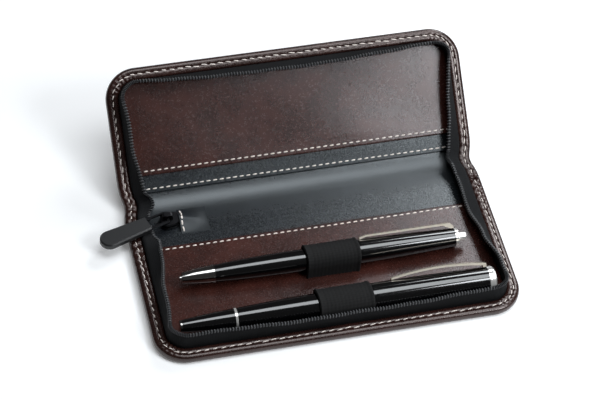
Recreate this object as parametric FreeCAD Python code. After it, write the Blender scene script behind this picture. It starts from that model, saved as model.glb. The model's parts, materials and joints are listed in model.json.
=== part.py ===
import FreeCAD
import Part
import math
import os

Vector = FreeCAD.Vector
UP = Vector(0, 0, 1)
ALONG = Vector(1, 0, 0)
ACROSS = Vector(0, 1, 0)
TOUCH = 1e-4

# Case: depth of each half, and the leather's layers; its length follows from the pens
PANEL_DEPTH = 61.0
SPINE_WIDTH = 24.5
OPEN_ANGLE = 41.0
CORNER_RADIUS = 14.0
COVER_LEATHER = 1.2
EDGE_WALL = 2.0
EDGE_ROUND = 1.8
BOARD_THICKNESS = 1.4
BOARD_CLEARANCE = 0.2
BAND_WIDTH = 5.5
BAND_THICKNESS = 1.0
BAND_ROUND = 0.45
LAYER_GAP = 0.05
SEAM_GAP = 0.3

# Folds: the leather stays free of board for this far on each side of a fold line
FOLD_GAP = 7.0
BEND_END = 1.0

# Linings and pockets
LINING_LEATHER = 1.0
LINING_CLEARANCE = 0.5
SPINE_LINING_LEATHER = 0.7
BACKING_LEATHER = 0.5
POCKET_LEATHER = 0.6
POCKET_INSET = 9.5
BLACK_POCKET_EDGE = 5.4
BLACK_POCKET_DEPTH = 34.0
BROWN_POCKET_EDGE = 13.3

# Zip tapes: woven tape sewn under the band, standing up inside it and carrying the coil
TAPE_THICKNESS = 0.5
TAPE_CLEARANCE = 0.1
TAPE_BLADE = 7.0
FLANGE_CLEARANCE = 0.4
COIL_WIDTH = 1.6
COIL_THICKNESS = 1.7
COIL_GROOVE = 0.28
COIL_PITCH = 1.7
COIL_GAP = 0.15
TAPE_STEP = 6.0
CORNER_STEPS = 8
LEAN_RUN = 18.0

# Lean of the tapes inwards, in degrees: spine end, side, corner, long edge, corner, side, spine end
BASE_LEANS = (70.0, 38.0, 8.0, -8.0, 8.0, 28.0, 58.0)
LID_LEANS = (45.0, 18.0, 3.0, 30.0, 3.0, 38.0, 66.0)
ZIP_END_LEAN = 87.0

# Zip end, on the spine, measured in from the case's left end
ZIP_END_INSET = 23.5
ZIP_Y = 43.5
ZIP_HALF_MOUTH = 1.6
TAIL_LENGTH = 4.0
TAIL_HALF_WIDTH = 4.2
TAIL_COIL_LENGTH = 2.2
TAIL_COIL_HALF_WIDTH = 1.3
TAIL_COIL_HEIGHT = 1.6
TAB_SETBACK = 0.2
TAB_LENGTH = 12.8
TAB_HALF_WIDTH = 7.0
TAB_LEATHER = 0.7
TAB_RISE = 2.9
TAB_END_RISE = 0.2
TAB_SEAT = 0.1
TAB_SIDES = 8

# Slider and its pull
SLIDER_LENGTH = 7.8
SLIDER_FRONT_WIDTH = 8.4
SLIDER_REAR_WIDTH = 6.0
SLIDER_CORNER = 2.2
SLIDER_CLEARANCE = 0.3
SLIDER_PLATE = 0.75
SLIDER_CHANNEL = 1.8
SLIDER_FLANGE = 0.6
SLIDER_FLANGE_DROP = 0.45
SLIDER_NECK_LENGTH = 3.0
SLIDER_NECK_WIDTH = 2.0
SLIDER_NECK_SETBACK = 0.8
BRIDGE_LENGTH = 4.6
BRIDGE_WIDTH = 2.2
BRIDGE_STRAP = 0.9
BRIDGE_SETBACK = 0.6
LINK_BAR = 0.9
LINK_THICKNESS = 0.9
LINK_CLEARANCE = 0.55
LINK_LENGTH = 12.5
LINK_WINDOW_WIDTH = 4.3
PULL_START = 9.0
PULL_LENGTH = 23.0
PULL_ROOT_WIDTH = 7.2
PULL_END_WIDTH = 8.8
PULL_THICKNESS = 3.2
PULL_EDGE = 0.6
PULL_SOCKET_GAP = 0.05
PULL_SWIVEL = 17.0

# Elastic loops, each a gap short of its pen's clip
LOOP_WIDTH = 23.8
LOOP_THICKNESS = 0.8
LOOP_CLEARANCE = 0.1
SLIT_CLEARANCE = 0.1
PEN_LIFT = 0.2

# Ballpoint pen, its ends measured in from the case's ends
BALLPOINT_Y = 8.0
BALLPOINT_LOOP_GAP = 1.2
NOSE_INSET = 16.5
BUTTON_INSET = 17.0
NOSE_LENGTH = 14.0
NOSE_RING = 1.0
NOSE_COLLAR_LENGTH = 0.9
NOSE_COLLAR_RADIUS = 1.2
NOSE_TIP_RADIUS = 2.3
NOSE_BASE_RADIUS = 3.7
NOSE_RING_RADIUS = 3.95
NOSE_BORE_RADIUS = 0.75
NOSE_BORE_LENGTH = 3.2
NOSE_SPIGOT = 5.0
LOWER_BARREL_LENGTH = 51.0
LOWER_BARREL_RADIUS = 4.95
BARREL_NOSE_RADIUS = 3.75
UPPER_BARREL_LENGTH = 55.8
BALLPOINT_RADIUS = 5.2
UPPER_BARREL_END_RADIUS = 4.0
BARREL_BULGE = 0.25
BARREL_BORE = 2.7
SPIGOT_WALL = 0.55
SPIGOT_LENGTH = 8.0
TOP_RING_LENGTH = 1.4
TOP_RING_RADIUS = 4.15
BUTTON_RADIUS = 2.4
BUTTON_LENGTH = 3.8
BUTTON_END_RADIUS = 1.9
BUTTON_SHANK = 7.0
BUTTON_STEM_RADIUS = 1.3
BUTTON_STEM_LENGTH = 7.0
BUTTON_TRAVEL = 5.0
BUTTON_CLEARANCE = 0.2
REFILL_RADIUS = 1.5
REFILL_NECK_RADIUS = 1.15
REFILL_TIP_RADIUS = 0.5
REFILL_TIP_LENGTH = 6.6
REFILL_SETBACK = 2.2
REFILL_SHOULDER = 0.6
SPRING_SEAT = 8.0
SPRING_LENGTH = 9.0
SPRING_RADIUS = 1.75
SPRING_WIRE = 0.18
SPRING_TURNS = 9
SPRING_TURN_STEPS = 12
CLIP_ROLL = 45.0
BALLPOINT_CLIP_LENGTH = 42.0
BALLPOINT_CLIP_WIDTH = 3.6
BALLPOINT_CLIP_TIP_WIDTH = 2.0
BALLPOINT_CLIP_RISE = 1.5
CLIP_THICKNESS = 0.8
CLIP_SEAT = 0.1

# Fountain pen, its ends measured in from the case's ends
FOUNTAIN_Y = -17.5
FOUNTAIN_LOOP_GAP = 9.5
TAIL_INSET = 11.3
FINIAL_INSET = 12.0
TAIL_TIP_LENGTH = 0.9
TAIL_TIP_RADIUS = 2.7
TAIL_CONE_LENGTH = 22.6
TAIL_CONE_END_RADIUS = 2.6
TAIL_CONE_RADIUS = 4.15
TAIL_RING_LENGTH = 1.0
TAIL_RING_RADIUS = 4.35
INK_BARREL_LENGTH = 44.7
INK_BARREL_RADIUS = 5.4
INK_BARREL_TAIL_RADIUS = 4.2
INK_BARREL_BORE = 3.4
INK_BARREL_CLOSED = 6.0
GRIP_LENGTH = 19.0
GRIP_RADIUS = 4.2
GRIP_FRONT_RADIUS = 3.7
GRIP_BORE = 2.2
CARTRIDGE_RADIUS = 3.0
CARTRIDGE_LENGTH = 32.0
NIB_LENGTH = 17.0
NIB_RADIUS = 2.1
NIB_SHEET = 0.25
NIB_SHOULDER = 6.0
NIB_SHOULDER_WIDTH = 6.4
NIB_SEATED = 4.0
FEED_RADIUS = 1.75
FEED_LENGTH = 14.0
CAP_LENGTH = 65.4
CAP_RADIUS = 5.9
CAP_END_RADIUS = 5.45
CAP_BORE = 4.85
CAP_CLOSED = 5.0
INNER_CAP_START = 21.0
INNER_CAP_LENGTH = 32.0
INNER_CAP_WALL = 0.6
INNER_CAP_CLEARANCE = 0.05
FINIAL_LENGTH = 3.1
FINIAL_RADIUS = 5.6
FINIAL_ROUND = 0.9
FINIAL_PIN_RADIUS = 1.2
FOUNTAIN_CLIP_LENGTH = 42.0
FOUNTAIN_CLIP_WIDTH = 4.2
FOUNTAIN_CLIP_TIP_WIDTH = 2.0
FOUNTAIN_CLIP_BOW = 2.2

# Length of the case along the spine, with room for the longer pen, and what is placed from its ends
BALLPOINT_BARREL_END = NOSE_LENGTH + NOSE_RING + LOWER_BARREL_LENGTH + UPPER_BARREL_LENGTH
INK_BARREL_START = TAIL_TIP_LENGTH + TAIL_CONE_LENGTH + TAIL_RING_LENGTH
INK_BARREL_END = INK_BARREL_START + INK_BARREL_LENGTH
FOUNTAIN_CAP_END = INK_BARREL_END + CAP_LENGTH
BALLPOINT_ROOM = NOSE_INSET + BALLPOINT_BARREL_END + TOP_RING_LENGTH + BUTTON_LENGTH + BUTTON_INSET
FOUNTAIN_ROOM = TAIL_INSET + FOUNTAIN_CAP_END + FINIAL_LENGTH + FINIAL_INSET
CASE_LENGTH = max(BALLPOINT_ROOM, FOUNTAIN_ROOM)
BALLPOINT_NOSE_X = NOSE_INSET - CASE_LENGTH / 2
FOUNTAIN_TAIL_X = TAIL_INSET - CASE_LENGTH / 2
BALLPOINT_CLIP_X = BALLPOINT_NOSE_X + BALLPOINT_BARREL_END - CLIP_SEAT - BALLPOINT_CLIP_LENGTH
FOUNTAIN_CLIP_X = FOUNTAIN_TAIL_X + FOUNTAIN_CAP_END - CLIP_SEAT - FOUNTAIN_CLIP_LENGTH
BALLPOINT_LOOP_X = BALLPOINT_CLIP_X - BALLPOINT_LOOP_GAP - LOOP_WIDTH
FOUNTAIN_LOOP_X = FOUNTAIN_CLIP_X - FOUNTAIN_LOOP_GAP - LOOP_WIDTH
TAIL_START = ZIP_END_INSET - CASE_LENGTH / 2
TAB_START = TAIL_START + TAB_SETBACK

# Levels worked out from the layers
BOARD_TOP = COVER_LEATHER + BOARD_THICKNESS
FLANGE_BOTTOM = BOARD_TOP + LAYER_GAP
FLANGE_TOP = FLANGE_BOTTOM + TAPE_THICKNESS
BAND_BOTTOM = FLANGE_TOP + LAYER_GAP
RIM_HEIGHT = BAND_BOTTOM + BAND_THICKNESS
LINING_TOP = BOARD_TOP + LINING_LEATHER
BACKING_TOP = BOARD_TOP + BACKING_LEATHER
BLACK_POCKET_TOP = BACKING_TOP + POCKET_LEATHER
BROWN_POCKET_TOP = BLACK_POCKET_TOP + POCKET_LEATHER
SPINE_LINING_TOP = BOARD_TOP - LAYER_GAP
SPINE_LINING_BOTTOM = SPINE_LINING_TOP - SPINE_LINING_LEATHER
TAPE_FOOT = BAND_WIDTH + TAPE_CLEARANCE
TAPE_KNEE = RIM_HEIGHT + TAPE_CLEARANCE
FLANGE_INSET = EDGE_WALL + FLANGE_CLEARANCE
LINING_INSET = TAPE_FOOT + TAPE_THICKNESS + LINING_CLEARANCE

# Fold lines run along X at mid thickness, one on each side of the spine
FOLD_HEIGHT = RIM_HEIGHT / 2
BASE_FOLD_Y = PANEL_DEPTH / 2
LID_FOLD_Y = BASE_FOLD_Y + SPINE_WIDTH
OPENING = math.radians(OPEN_ANGLE)
BEND_REACH = FOLD_GAP - BEND_END
BEND_RADIUS = FOLD_HEIGHT + BEND_REACH / math.tan(OPENING / 2)
BEND_START_Y = LID_FOLD_Y - BEND_REACH
SPINE_START_Y = BASE_FOLD_Y - FOLD_GAP + SEAM_GAP
SPINE_FLAT = BEND_START_Y - SPINE_START_Y
SPINE_BEND = BEND_RADIUS * OPENING
SPINE_RUN = SPINE_FLAT + SPINE_BEND + BEND_END - SEAM_GAP

# Lengths of the U that a half's rim follows
SIDE_RUN = PANEL_DEPTH - CORNER_RADIUS - FOLD_GAP
CORNER_RUN = math.pi / 2 * CORNER_RADIUS
FRONT_RUN = CASE_LENGTH - 2 * CORNER_RADIUS
RIM_RUN = 2 * SIDE_RUN + 2 * CORNER_RUN + FRONT_RUN


def panel_outline(inset, start):
    """Outline of one half, inset from its edge: fold end straight at start, two rounded corners."""
    half = CASE_LENGTH / 2 - inset
    top = PANEL_DEPTH - inset
    radius = CORNER_RADIUS - inset
    bulge = radius * (1 - math.sqrt(0.5))
    left_foot = Vector(-half, start, 0)
    left_shoulder = Vector(-half, top - radius, 0)
    left_middle = Vector(-half + bulge, top - bulge, 0)
    left_top = Vector(-half + radius, top, 0)
    right_top = Vector(half - radius, top, 0)
    right_middle = Vector(half - bulge, top - bulge, 0)
    right_shoulder = Vector(half, top - radius, 0)
    right_foot = Vector(half, start, 0)
    edges = [
        Part.LineSegment(left_foot, left_shoulder).toShape(),
        Part.Arc(left_shoulder, left_middle, left_top).toShape(),
        Part.LineSegment(left_top, right_top).toShape(),
        Part.Arc(right_top, right_middle, right_shoulder).toShape(),
        Part.LineSegment(right_shoulder, right_foot).toShape(),
        Part.LineSegment(right_foot, left_foot).toShape(),
    ]
    return Part.Wire(edges)


def plate(outline, bottom, top):
    """Flat sheet with the given outline between two levels."""
    face = Part.Face(outline)
    face.translate(UP * bottom)
    return face.extrude(UP * (top - bottom))


def rim_edges(shape, level, start):
    """Edges of a half that lie at one level, apart from those on its fold end."""
    found = []
    for edge in shape.Edges:
        box = edge.BoundBox
        flat = abs(box.ZMin - level) < TOUCH and abs(box.ZMax - level) < TOUCH
        if flat and box.YMax > start + TOUCH:
            found.append(edge)
    return found


def panel_cover():
    """Outer leather of one half: floor, turned-up edge wall and a rounded outer edge."""
    block = plate(panel_outline(0, FOLD_GAP), 0, BAND_BOTTOM)
    block = block.makeFillet(EDGE_ROUND, rim_edges(block, 0, FOLD_GAP))
    hollow = plate(panel_outline(EDGE_WALL, 0), COVER_LEATHER, RIM_HEIGHT)
    return block.cut(hollow)


def panel_board():
    """Stiffener board, inside the cover's edge wall."""
    outline = panel_outline(EDGE_WALL + BOARD_CLEARANCE, FOLD_GAP + BOARD_CLEARANCE)
    return plate(outline, COVER_LEATHER, BOARD_TOP)


def panel_band():
    """Turned-over leather band on top of the rim, through which the zip tape is sewn."""
    ring = plate(panel_outline(0, FOLD_GAP), BAND_BOTTOM, RIM_HEIGHT)
    ring = ring.cut(plate(panel_outline(BAND_WIDTH, 0), 0, RIM_HEIGHT + BAND_THICKNESS))
    return ring.makeFillet(BAND_ROUND, rim_edges(ring, RIM_HEIGHT, FOLD_GAP))


def rim_station(distance):
    """Point on a half's outer edge and the direction inwards, a distance along the rim from its left foot."""
    half = CASE_LENGTH / 2
    if distance <= SIDE_RUN:
        return Vector(-half, FOLD_GAP + distance, 0), ALONG
    distance -= SIDE_RUN
    if distance <= CORNER_RUN:
        return corner_station(-half + CORNER_RADIUS, math.pi - distance / CORNER_RADIUS)
    distance -= CORNER_RUN
    if distance <= FRONT_RUN:
        return Vector(-half + CORNER_RADIUS + distance, PANEL_DEPTH, 0), -ACROSS
    distance -= FRONT_RUN
    if distance <= CORNER_RUN:
        return corner_station(half - CORNER_RADIUS, math.pi / 2 - distance / CORNER_RADIUS)
    distance -= CORNER_RUN
    return Vector(half, PANEL_DEPTH - CORNER_RADIUS - distance, 0), -ALONG


def corner_station(centre_x, angle):
    """Point on a rounded corner and the direction to the corner's centre."""
    outwards = Vector(math.cos(angle), math.sin(angle), 0)
    return Vector(centre_x, PANEL_DEPTH - CORNER_RADIUS, 0) + outwards * CORNER_RADIUS, -outwards


def eased(knots, distance):
    """Value at a distance, eased by a half cosine between (distance, value) knots."""
    for (near, first), (far, second) in zip(knots, knots[1:]):
        if distance <= far:
            share = (distance - near) / (far - near)
            return first + (second - first) * (1 - math.cos(math.pi * share)) / 2
    return knots[-1][1]


def rim_lean(leans, distance):
    """Lean of a half's tape at a distance along the rim."""
    front = SIDE_RUN + CORNER_RUN
    places = (
        0,
        SIDE_RUN / 2,
        SIDE_RUN + CORNER_RUN / 2,
        front + LEAN_RUN,
        front + FRONT_RUN - LEAN_RUN,
        front + FRONT_RUN + CORNER_RUN / 2,
        RIM_RUN - SIDE_RUN / 2,
        RIM_RUN,
    )
    values = leans[:4] + leans[3:]
    return eased(list(zip(places, values)), distance)


def tape_section(root, inwards, upwards, lean):
    """Closed section of the tape: flange under the band, foot beside it and leaning blade above."""
    tilt = math.radians(lean)
    half = TAPE_THICKNESS / 2
    mitre = half * math.tan(tilt / 2)
    inner_foot = TAPE_FOOT + TAPE_THICKNESS
    tip_in = TAPE_FOOT + half + TAPE_BLADE * math.sin(tilt)
    tip_up = TAPE_KNEE + TAPE_BLADE * math.cos(tilt)
    side_in = half * math.cos(tilt)
    side_up = half * math.sin(tilt)
    corners = [
        (FLANGE_INSET, FLANGE_BOTTOM),
        (FLANGE_INSET, FLANGE_TOP),
        (TAPE_FOOT, FLANGE_TOP),
        (TAPE_FOOT, TAPE_KNEE + mitre),
        (tip_in - side_in, tip_up + side_up),
        (tip_in + side_in, tip_up - side_up),
        (inner_foot, TAPE_KNEE - mitre),
        (inner_foot, FLANGE_BOTTOM),
    ]
    points = [root + inwards * u + upwards * v for u, v in corners]
    return Part.makePolygon(points + points[:1])


def coil_section(root, inwards, upwards, lean, groove):
    """Square section of the coil just past the tape's edge, thinner in the grooves between its turns."""
    tilt = math.radians(lean)
    along = inwards * math.sin(tilt) + upwards * math.cos(tilt)
    through = inwards * math.cos(tilt) - upwards * math.sin(tilt)
    knee = root + inwards * (TAPE_FOOT + TAPE_THICKNESS / 2) + upwards * TAPE_KNEE
    near = knee + along * (TAPE_BLADE + COIL_GAP)
    far = near + along * (COIL_WIDTH - groove)
    half = COIL_THICKNESS / 2 - groove
    points = [near - through * half, near + through * half, far + through * half, far - through * half]
    return Part.makePolygon(points + points[:1])


def spread(start, length, step):
    """Distances that divide a length into equal steps near the wished one, without the last."""
    count = max(1, round(length / step))
    return [start + length * i / count for i in range(count)]


def rim_distances(step, corner_step):
    """Distances along a half's rim, with a step of its own on the corners."""
    runs = (SIDE_RUN, CORNER_RUN, FRONT_RUN, CORNER_RUN, SIDE_RUN)
    found = []
    start = 0
    for number, run in enumerate(runs):
        found += spread(start, run, corner_step if number % 2 else step)
        start += run
    return found + [RIM_RUN]


def panel_tape(leans):
    """Zip tape of one half, a U of leaning tape."""
    sections = []
    for distance in rim_distances(TAPE_STEP, CORNER_RUN / CORNER_STEPS):
        root, inwards = rim_station(distance)
        sections.append(tape_section(root, inwards, UP, rim_lean(leans, distance)))
    return Part.makeLoft(sections, True, True)


def panel_coil(leans):
    """Zip coil of one half: a bar whose turns show as a tooth and a groove at each pitch."""
    corner_share = CORNER_RADIUS / (CORNER_RADIUS - TAPE_FOOT)
    sections = []
    for number, distance in enumerate(rim_distances(COIL_PITCH / 2, COIL_PITCH / 2 * corner_share)):
        root, inwards = rim_station(distance)
        groove = COIL_GROOVE * (number % 2)
        sections.append(coil_section(root, inwards, UP, rim_lean(leans, distance), groove))
    return Part.makeLoft(sections, True, True)


def onto_base(shape):
    """Turn a half to lie flat in front of the spine."""
    placed = shape.copy()
    placed.rotate(Vector(0, 0, 0), UP, 180)
    placed.translate(ACROSS * BASE_FOLD_Y)
    return placed


def onto_lid(shape):
    """Raise a half to the lid's open angle behind the spine."""
    placed = shape.copy()
    placed.rotate(UP * FOLD_HEIGHT, ALONG, OPEN_ANGLE)
    placed.translate(ACROSS * LID_FOLD_Y)
    return placed


def base_lining():
    """Brown lining of the base up to the fold line, with two slits for each elastic loop."""
    sheet = onto_base(plate(panel_outline(LINING_INSET, 0), BOARD_TOP, LINING_TOP))
    for loop_x, pen_y, radius in (BALLPOINT_LOOP, FOUNTAIN_LOOP):
        for side in (-1, 1):
            middle = pen_y + side * (radius + LOOP_THICKNESS / 2)
            width = LOOP_THICKNESS + 2 * SLIT_CLEARANCE
            corner = Vector(loop_x - SLIT_CLEARANCE, middle - width / 2, 0)
            slit = Part.makeBox(LOOP_WIDTH + 2 * SLIT_CLEARANCE, width, RIM_HEIGHT + LINING_TOP, corner)
            sheet = sheet.cut(slit)
    return sheet


def pocket(edge, depth, bottom, top):
    """Leather pocket sheet of the lid: straight lower edge, and rounded corners where it reaches the top."""
    sheet = plate(panel_outline(POCKET_INSET, edge), bottom, top)
    if edge + depth < PANEL_DEPTH - POCKET_INSET:
        width = CASE_LENGTH - 2 * POCKET_INSET
        kept = Part.makeBox(width, depth, RIM_HEIGHT + top, Vector(-width / 2, edge, 0))
        sheet = sheet.common(kept)
    return sheet


def bent_points(level, run):
    """Points of the spine's bent line at one level: start, bend start, bend middle, bend end, lid end."""
    radius = BEND_RADIUS - level
    centre = Vector(0, BEND_START_Y, BEND_RADIUS)
    middle = centre + Vector(0, math.sin(OPENING / 2), -math.cos(OPENING / 2)) * radius
    bend_end = centre + Vector(0, math.sin(OPENING), -math.cos(OPENING)) * radius
    lid_end = bend_end + Vector(0, math.cos(OPENING), math.sin(OPENING)) * run
    return [Vector(0, SPINE_START_Y, level), Vector(0, BEND_START_Y, level), middle, bend_end, lid_end]


def bent_layer(bottom, top, left, right):
    """Layer of the spine between two levels: flat, then bent up to the lid's angle."""
    run = BEND_END - SEAM_GAP
    low = bent_points(bottom, run)
    high = bent_points(top, run)
    edges = [
        Part.LineSegment(low[0], low[1]).toShape(),
        Part.Arc(low[1], low[2], low[3]).toShape(),
        Part.LineSegment(low[3], low[4]).toShape(),
        Part.LineSegment(low[4], high[4]).toShape(),
        Part.LineSegment(high[4], high[3]).toShape(),
        Part.Arc(high[3], high[2], high[1]).toShape(),
        Part.LineSegment(high[1], high[0]).toShape(),
        Part.LineSegment(high[0], low[0]).toShape(),
    ]
    face = Part.Face(Part.Wire(edges))
    face.translate(ALONG * left)
    return face.extrude(ALONG * (right - left))


def both_ends(bottom, top, inset, width):
    """Two strips of the spine's bent layer, one at each end of the case."""
    half = CASE_LENGTH / 2
    left = bent_layer(bottom, top, -half + inset, -half + inset + width)
    right = bent_layer(bottom, top, half - inset - width, half - inset)
    return [left, right]


def spine_cover():
    """Outer leather of the spine, with its turned-up end walls."""
    half = CASE_LENGTH / 2
    cover = bent_layer(0, COVER_LEATHER, -half, half)
    for wall in both_ends(COVER_LEATHER, BAND_BOTTOM, 0, EDGE_WALL):
        cover = cover.fuse(wall)
    return cover.removeSplitter()


def spine_sheet(bottom, top, inset):
    """Sheet inside the spine, inset from both ends of the case."""
    half = CASE_LENGTH / 2 - inset
    return bent_layer(bottom, top, -half, half)


def spine_station(distance, side):
    """Point on the spine's outer surface at one end of the case, with the directions inwards and upwards."""
    x = side * CASE_LENGTH / 2
    if distance <= SPINE_FLAT:
        return Vector(x, SPINE_START_Y + distance, 0), ALONG * -side, UP
    turned = min((distance - SPINE_FLAT) / BEND_RADIUS, OPENING)
    beyond = max(distance - SPINE_FLAT - SPINE_BEND, 0)
    upwards = Vector(0, -math.sin(turned), math.cos(turned))
    onwards = Vector(0, math.cos(turned), math.sin(turned))
    centre = Vector(x, BEND_START_Y, BEND_RADIUS)
    return centre - upwards * BEND_RADIUS + onwards * beyond, ALONG * -side, upwards


def gusset_runs():
    """Stretches of tape beside the spine: side, start, end and the leans at both."""
    mouth = ZIP_Y - SPINE_START_Y
    return [
        (1, 0, SPINE_RUN, BASE_LEANS[0], LID_LEANS[-1]),
        (-1, 0, mouth - ZIP_HALF_MOUTH, BASE_LEANS[-1], ZIP_END_LEAN),
        (-1, mouth + ZIP_HALF_MOUTH, SPINE_RUN, ZIP_END_LEAN, LID_LEANS[0]),
    ]


def gusset_lofts(step, section):
    """One loft for each stretch of tape beside the spine; section gets a station, its lean and its number."""
    lofts = []
    for side, start, end, first, last in gusset_runs():
        knots = [(start, first), (end, last)]
        distances = spread(start, end - start, step) + [end]
        wires = []
        for number, distance in enumerate(distances):
            wires.append(section(spine_station(distance, side), eased(knots, distance), number))
        lofts.append(Part.makeLoft(wires, True, True))
    return Part.makeCompound(lofts)


def spine_tape():
    """Zip tapes beside the spine: one whole at the right, two that meet at the slider at the left."""
    return gusset_lofts(TAPE_STEP / 2, lambda station, lean, number: tape_section(*station, lean))


def spine_coil():
    """Coil along the spine's tapes."""

    def section(station, lean, number):
        return coil_section(*station, lean, COIL_GROOVE * (number % 2))

    return gusset_lofts(COIL_PITCH / 2, section)


def zip_tail_tape():
    """The two tapes' closed end behind the slider, lying on the spine lining."""
    corner = Vector(TAIL_START, ZIP_Y - TAIL_HALF_WIDTH, BOARD_TOP + LAYER_GAP)
    return Part.makeBox(TAIL_LENGTH, 2 * TAIL_HALF_WIDTH, TAPE_THICKNESS, corner)


def zip_tail_coil():
    """The closed coil's last turns on the tail."""
    bottom = BOARD_TOP + TAPE_THICKNESS + 2 * LAYER_GAP
    sections = []
    for number, distance in enumerate(spread(0, TAIL_COIL_LENGTH, COIL_PITCH / 2) + [TAIL_COIL_LENGTH]):
        groove = COIL_GROOVE * (number % 2)
        half = TAIL_COIL_HALF_WIDTH - groove
        x = TAIL_START + distance
        top = bottom + TAIL_COIL_HEIGHT - groove
        points = [
            Vector(x, ZIP_Y - half, bottom),
            Vector(x, ZIP_Y + half, bottom),
            Vector(x, ZIP_Y + half, top),
            Vector(x, ZIP_Y - half, top),
        ]
        sections.append(Part.makePolygon(points + points[:1]))
    return Part.makeLoft(sections, True, True)


def zip_end_tab():
    """Leather tab sewn over the zip's end: an arch over the tail that runs out flat along the spine."""
    sections = []
    for x, rise in ((TAB_START, TAB_RISE), (TAB_START + TAB_LENGTH, TAB_END_RISE)):
        inner = []
        outer = []
        for i in range(TAB_SIDES + 1):
            across = TAB_HALF_WIDTH * (2 * i / TAB_SIDES - 1)
            height = rise * math.cos(math.pi / 2 * across / TAB_HALF_WIDTH) ** 2
            foot = Vector(x, ZIP_Y + across, BOARD_TOP + TAB_SEAT + height)
            inner.append(foot)
            outer.append(foot + UP * TAB_LEATHER)
        ring = inner + outer[::-1]
        sections.append(Part.makePolygon(ring + ring[:1]))
    return Part.makeLoft(sections, True, True)


def slider_plan(inset, bottom, height):
    """One plate of the slider: wide at the mouth, narrow at the rear, with rounded corners."""
    front = SLIDER_FRONT_WIDTH / 2 - inset
    rear = SLIDER_REAR_WIDTH / 2 - inset
    near = SLIDER_X + inset
    far = SLIDER_X + SLIDER_LENGTH - inset
    points = [
        Vector(near, ZIP_Y - front, bottom),
        Vector(far, ZIP_Y - rear, bottom),
        Vector(far, ZIP_Y + rear, bottom),
        Vector(near, ZIP_Y + front, bottom),
    ]
    block = Part.Face(Part.makePolygon(points + points[:1])).extrude(UP * height)
    upright = [edge for edge in block.Edges if edge.BoundBox.ZLength > height - TOUCH]
    return block.makeFillet(SLIDER_CORNER - inset, upright)


def slider_body():
    """Slider: two plates with flanged sides, the neck that parts the coils, and the bridge for the pull."""
    channel_top = SLIDER_BOTTOM + SLIDER_PLATE + SLIDER_CHANNEL
    body = slider_plan(0, SLIDER_BOTTOM, SLIDER_PLATE)
    body = body.fuse(slider_plan(0, channel_top, SLIDER_PLATE))
    for level in (SLIDER_BOTTOM + SLIDER_PLATE, channel_top - SLIDER_FLANGE_DROP):
        rail = slider_plan(0, level, SLIDER_FLANGE_DROP)
        rail = rail.cut(slider_plan(SLIDER_FLANGE, level, SLIDER_FLANGE_DROP))
        open_start = Vector(SLIDER_X, ZIP_Y - SLIDER_REAR_WIDTH / 2 + SLIDER_FLANGE, level)
        open_width = SLIDER_REAR_WIDTH - 2 * SLIDER_FLANGE
        rail = rail.cut(Part.makeBox(SLIDER_LENGTH, open_width, SLIDER_FLANGE_DROP, open_start))
        body = body.fuse(rail)
    neck_corner = Vector(SLIDER_X + SLIDER_NECK_SETBACK, ZIP_Y - SLIDER_NECK_WIDTH / 2, SLIDER_BOTTOM)
    neck_height = channel_top + SLIDER_PLATE - SLIDER_BOTTOM
    body = body.fuse(Part.makeBox(SLIDER_NECK_LENGTH, SLIDER_NECK_WIDTH, neck_height, neck_corner))
    return body.fuse(slider_bridge()).removeSplitter()


def slider_bridge():
    """Rounded strap over the slider, closed at both ends, that holds the pull's link."""
    inner_height = LINK_THICKNESS + 2 * LINK_CLEARANCE
    corner = Vector(BRIDGE_X, ZIP_Y - BRIDGE_WIDTH / 2, SLIDER_TOP - SLIDER_PLATE / 2)
    height = SLIDER_PLATE / 2 + inner_height + BRIDGE_STRAP
    strap = Part.makeBox(BRIDGE_LENGTH, BRIDGE_WIDTH, height, corner)
    level = corner.z + height
    top_edges = []
    for edge in strap.Edges:
        if abs(edge.BoundBox.ZMin - level) < TOUCH and edge.BoundBox.YLength > TOUCH:
            top_edges.append(edge)
    strap = strap.makeFillet(BRIDGE_STRAP, top_edges)
    window = Vector(BRIDGE_X + BRIDGE_STRAP, ZIP_Y - BRIDGE_WIDTH / 2, SLIDER_TOP)
    return strap.cut(Part.makeBox(BRIDGE_LENGTH - 2 * BRIDGE_STRAP, BRIDGE_WIDTH, inner_height, window))


def onto_pull(shape):
    """Carry a shape from the pull's own frame, pointing along +X from the link's bar, to the slider."""
    placed = shape.copy()
    placed.rotate(Vector(0, 0, 0), UP, 180 + PULL_SWIVEL)
    placed.translate(PULL_HINGE)
    return placed


def puller_link():
    """Flat metal link: a bar under the bridge, two arms beside it and a tongue in the pull."""
    width = LINK_WINDOW_WIDTH + 2 * LINK_BAR
    bottom = -LINK_THICKNESS / 2
    link = Part.makeBox(LINK_LENGTH, width, LINK_THICKNESS, Vector(-LINK_BAR / 2, -width / 2, bottom))
    window_length = PULL_START - LINK_BAR
    window_corner = Vector(LINK_BAR / 2, -LINK_WINDOW_WIDTH / 2, bottom)
    window = Part.makeBox(window_length, LINK_WINDOW_WIDTH, LINK_THICKNESS, window_corner)
    upright = [edge for edge in link.Edges if edge.BoundBox.ZLength > LINK_THICKNESS - TOUCH]
    return link.makeFillet(LINK_BAR, upright).cut(window)


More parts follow.
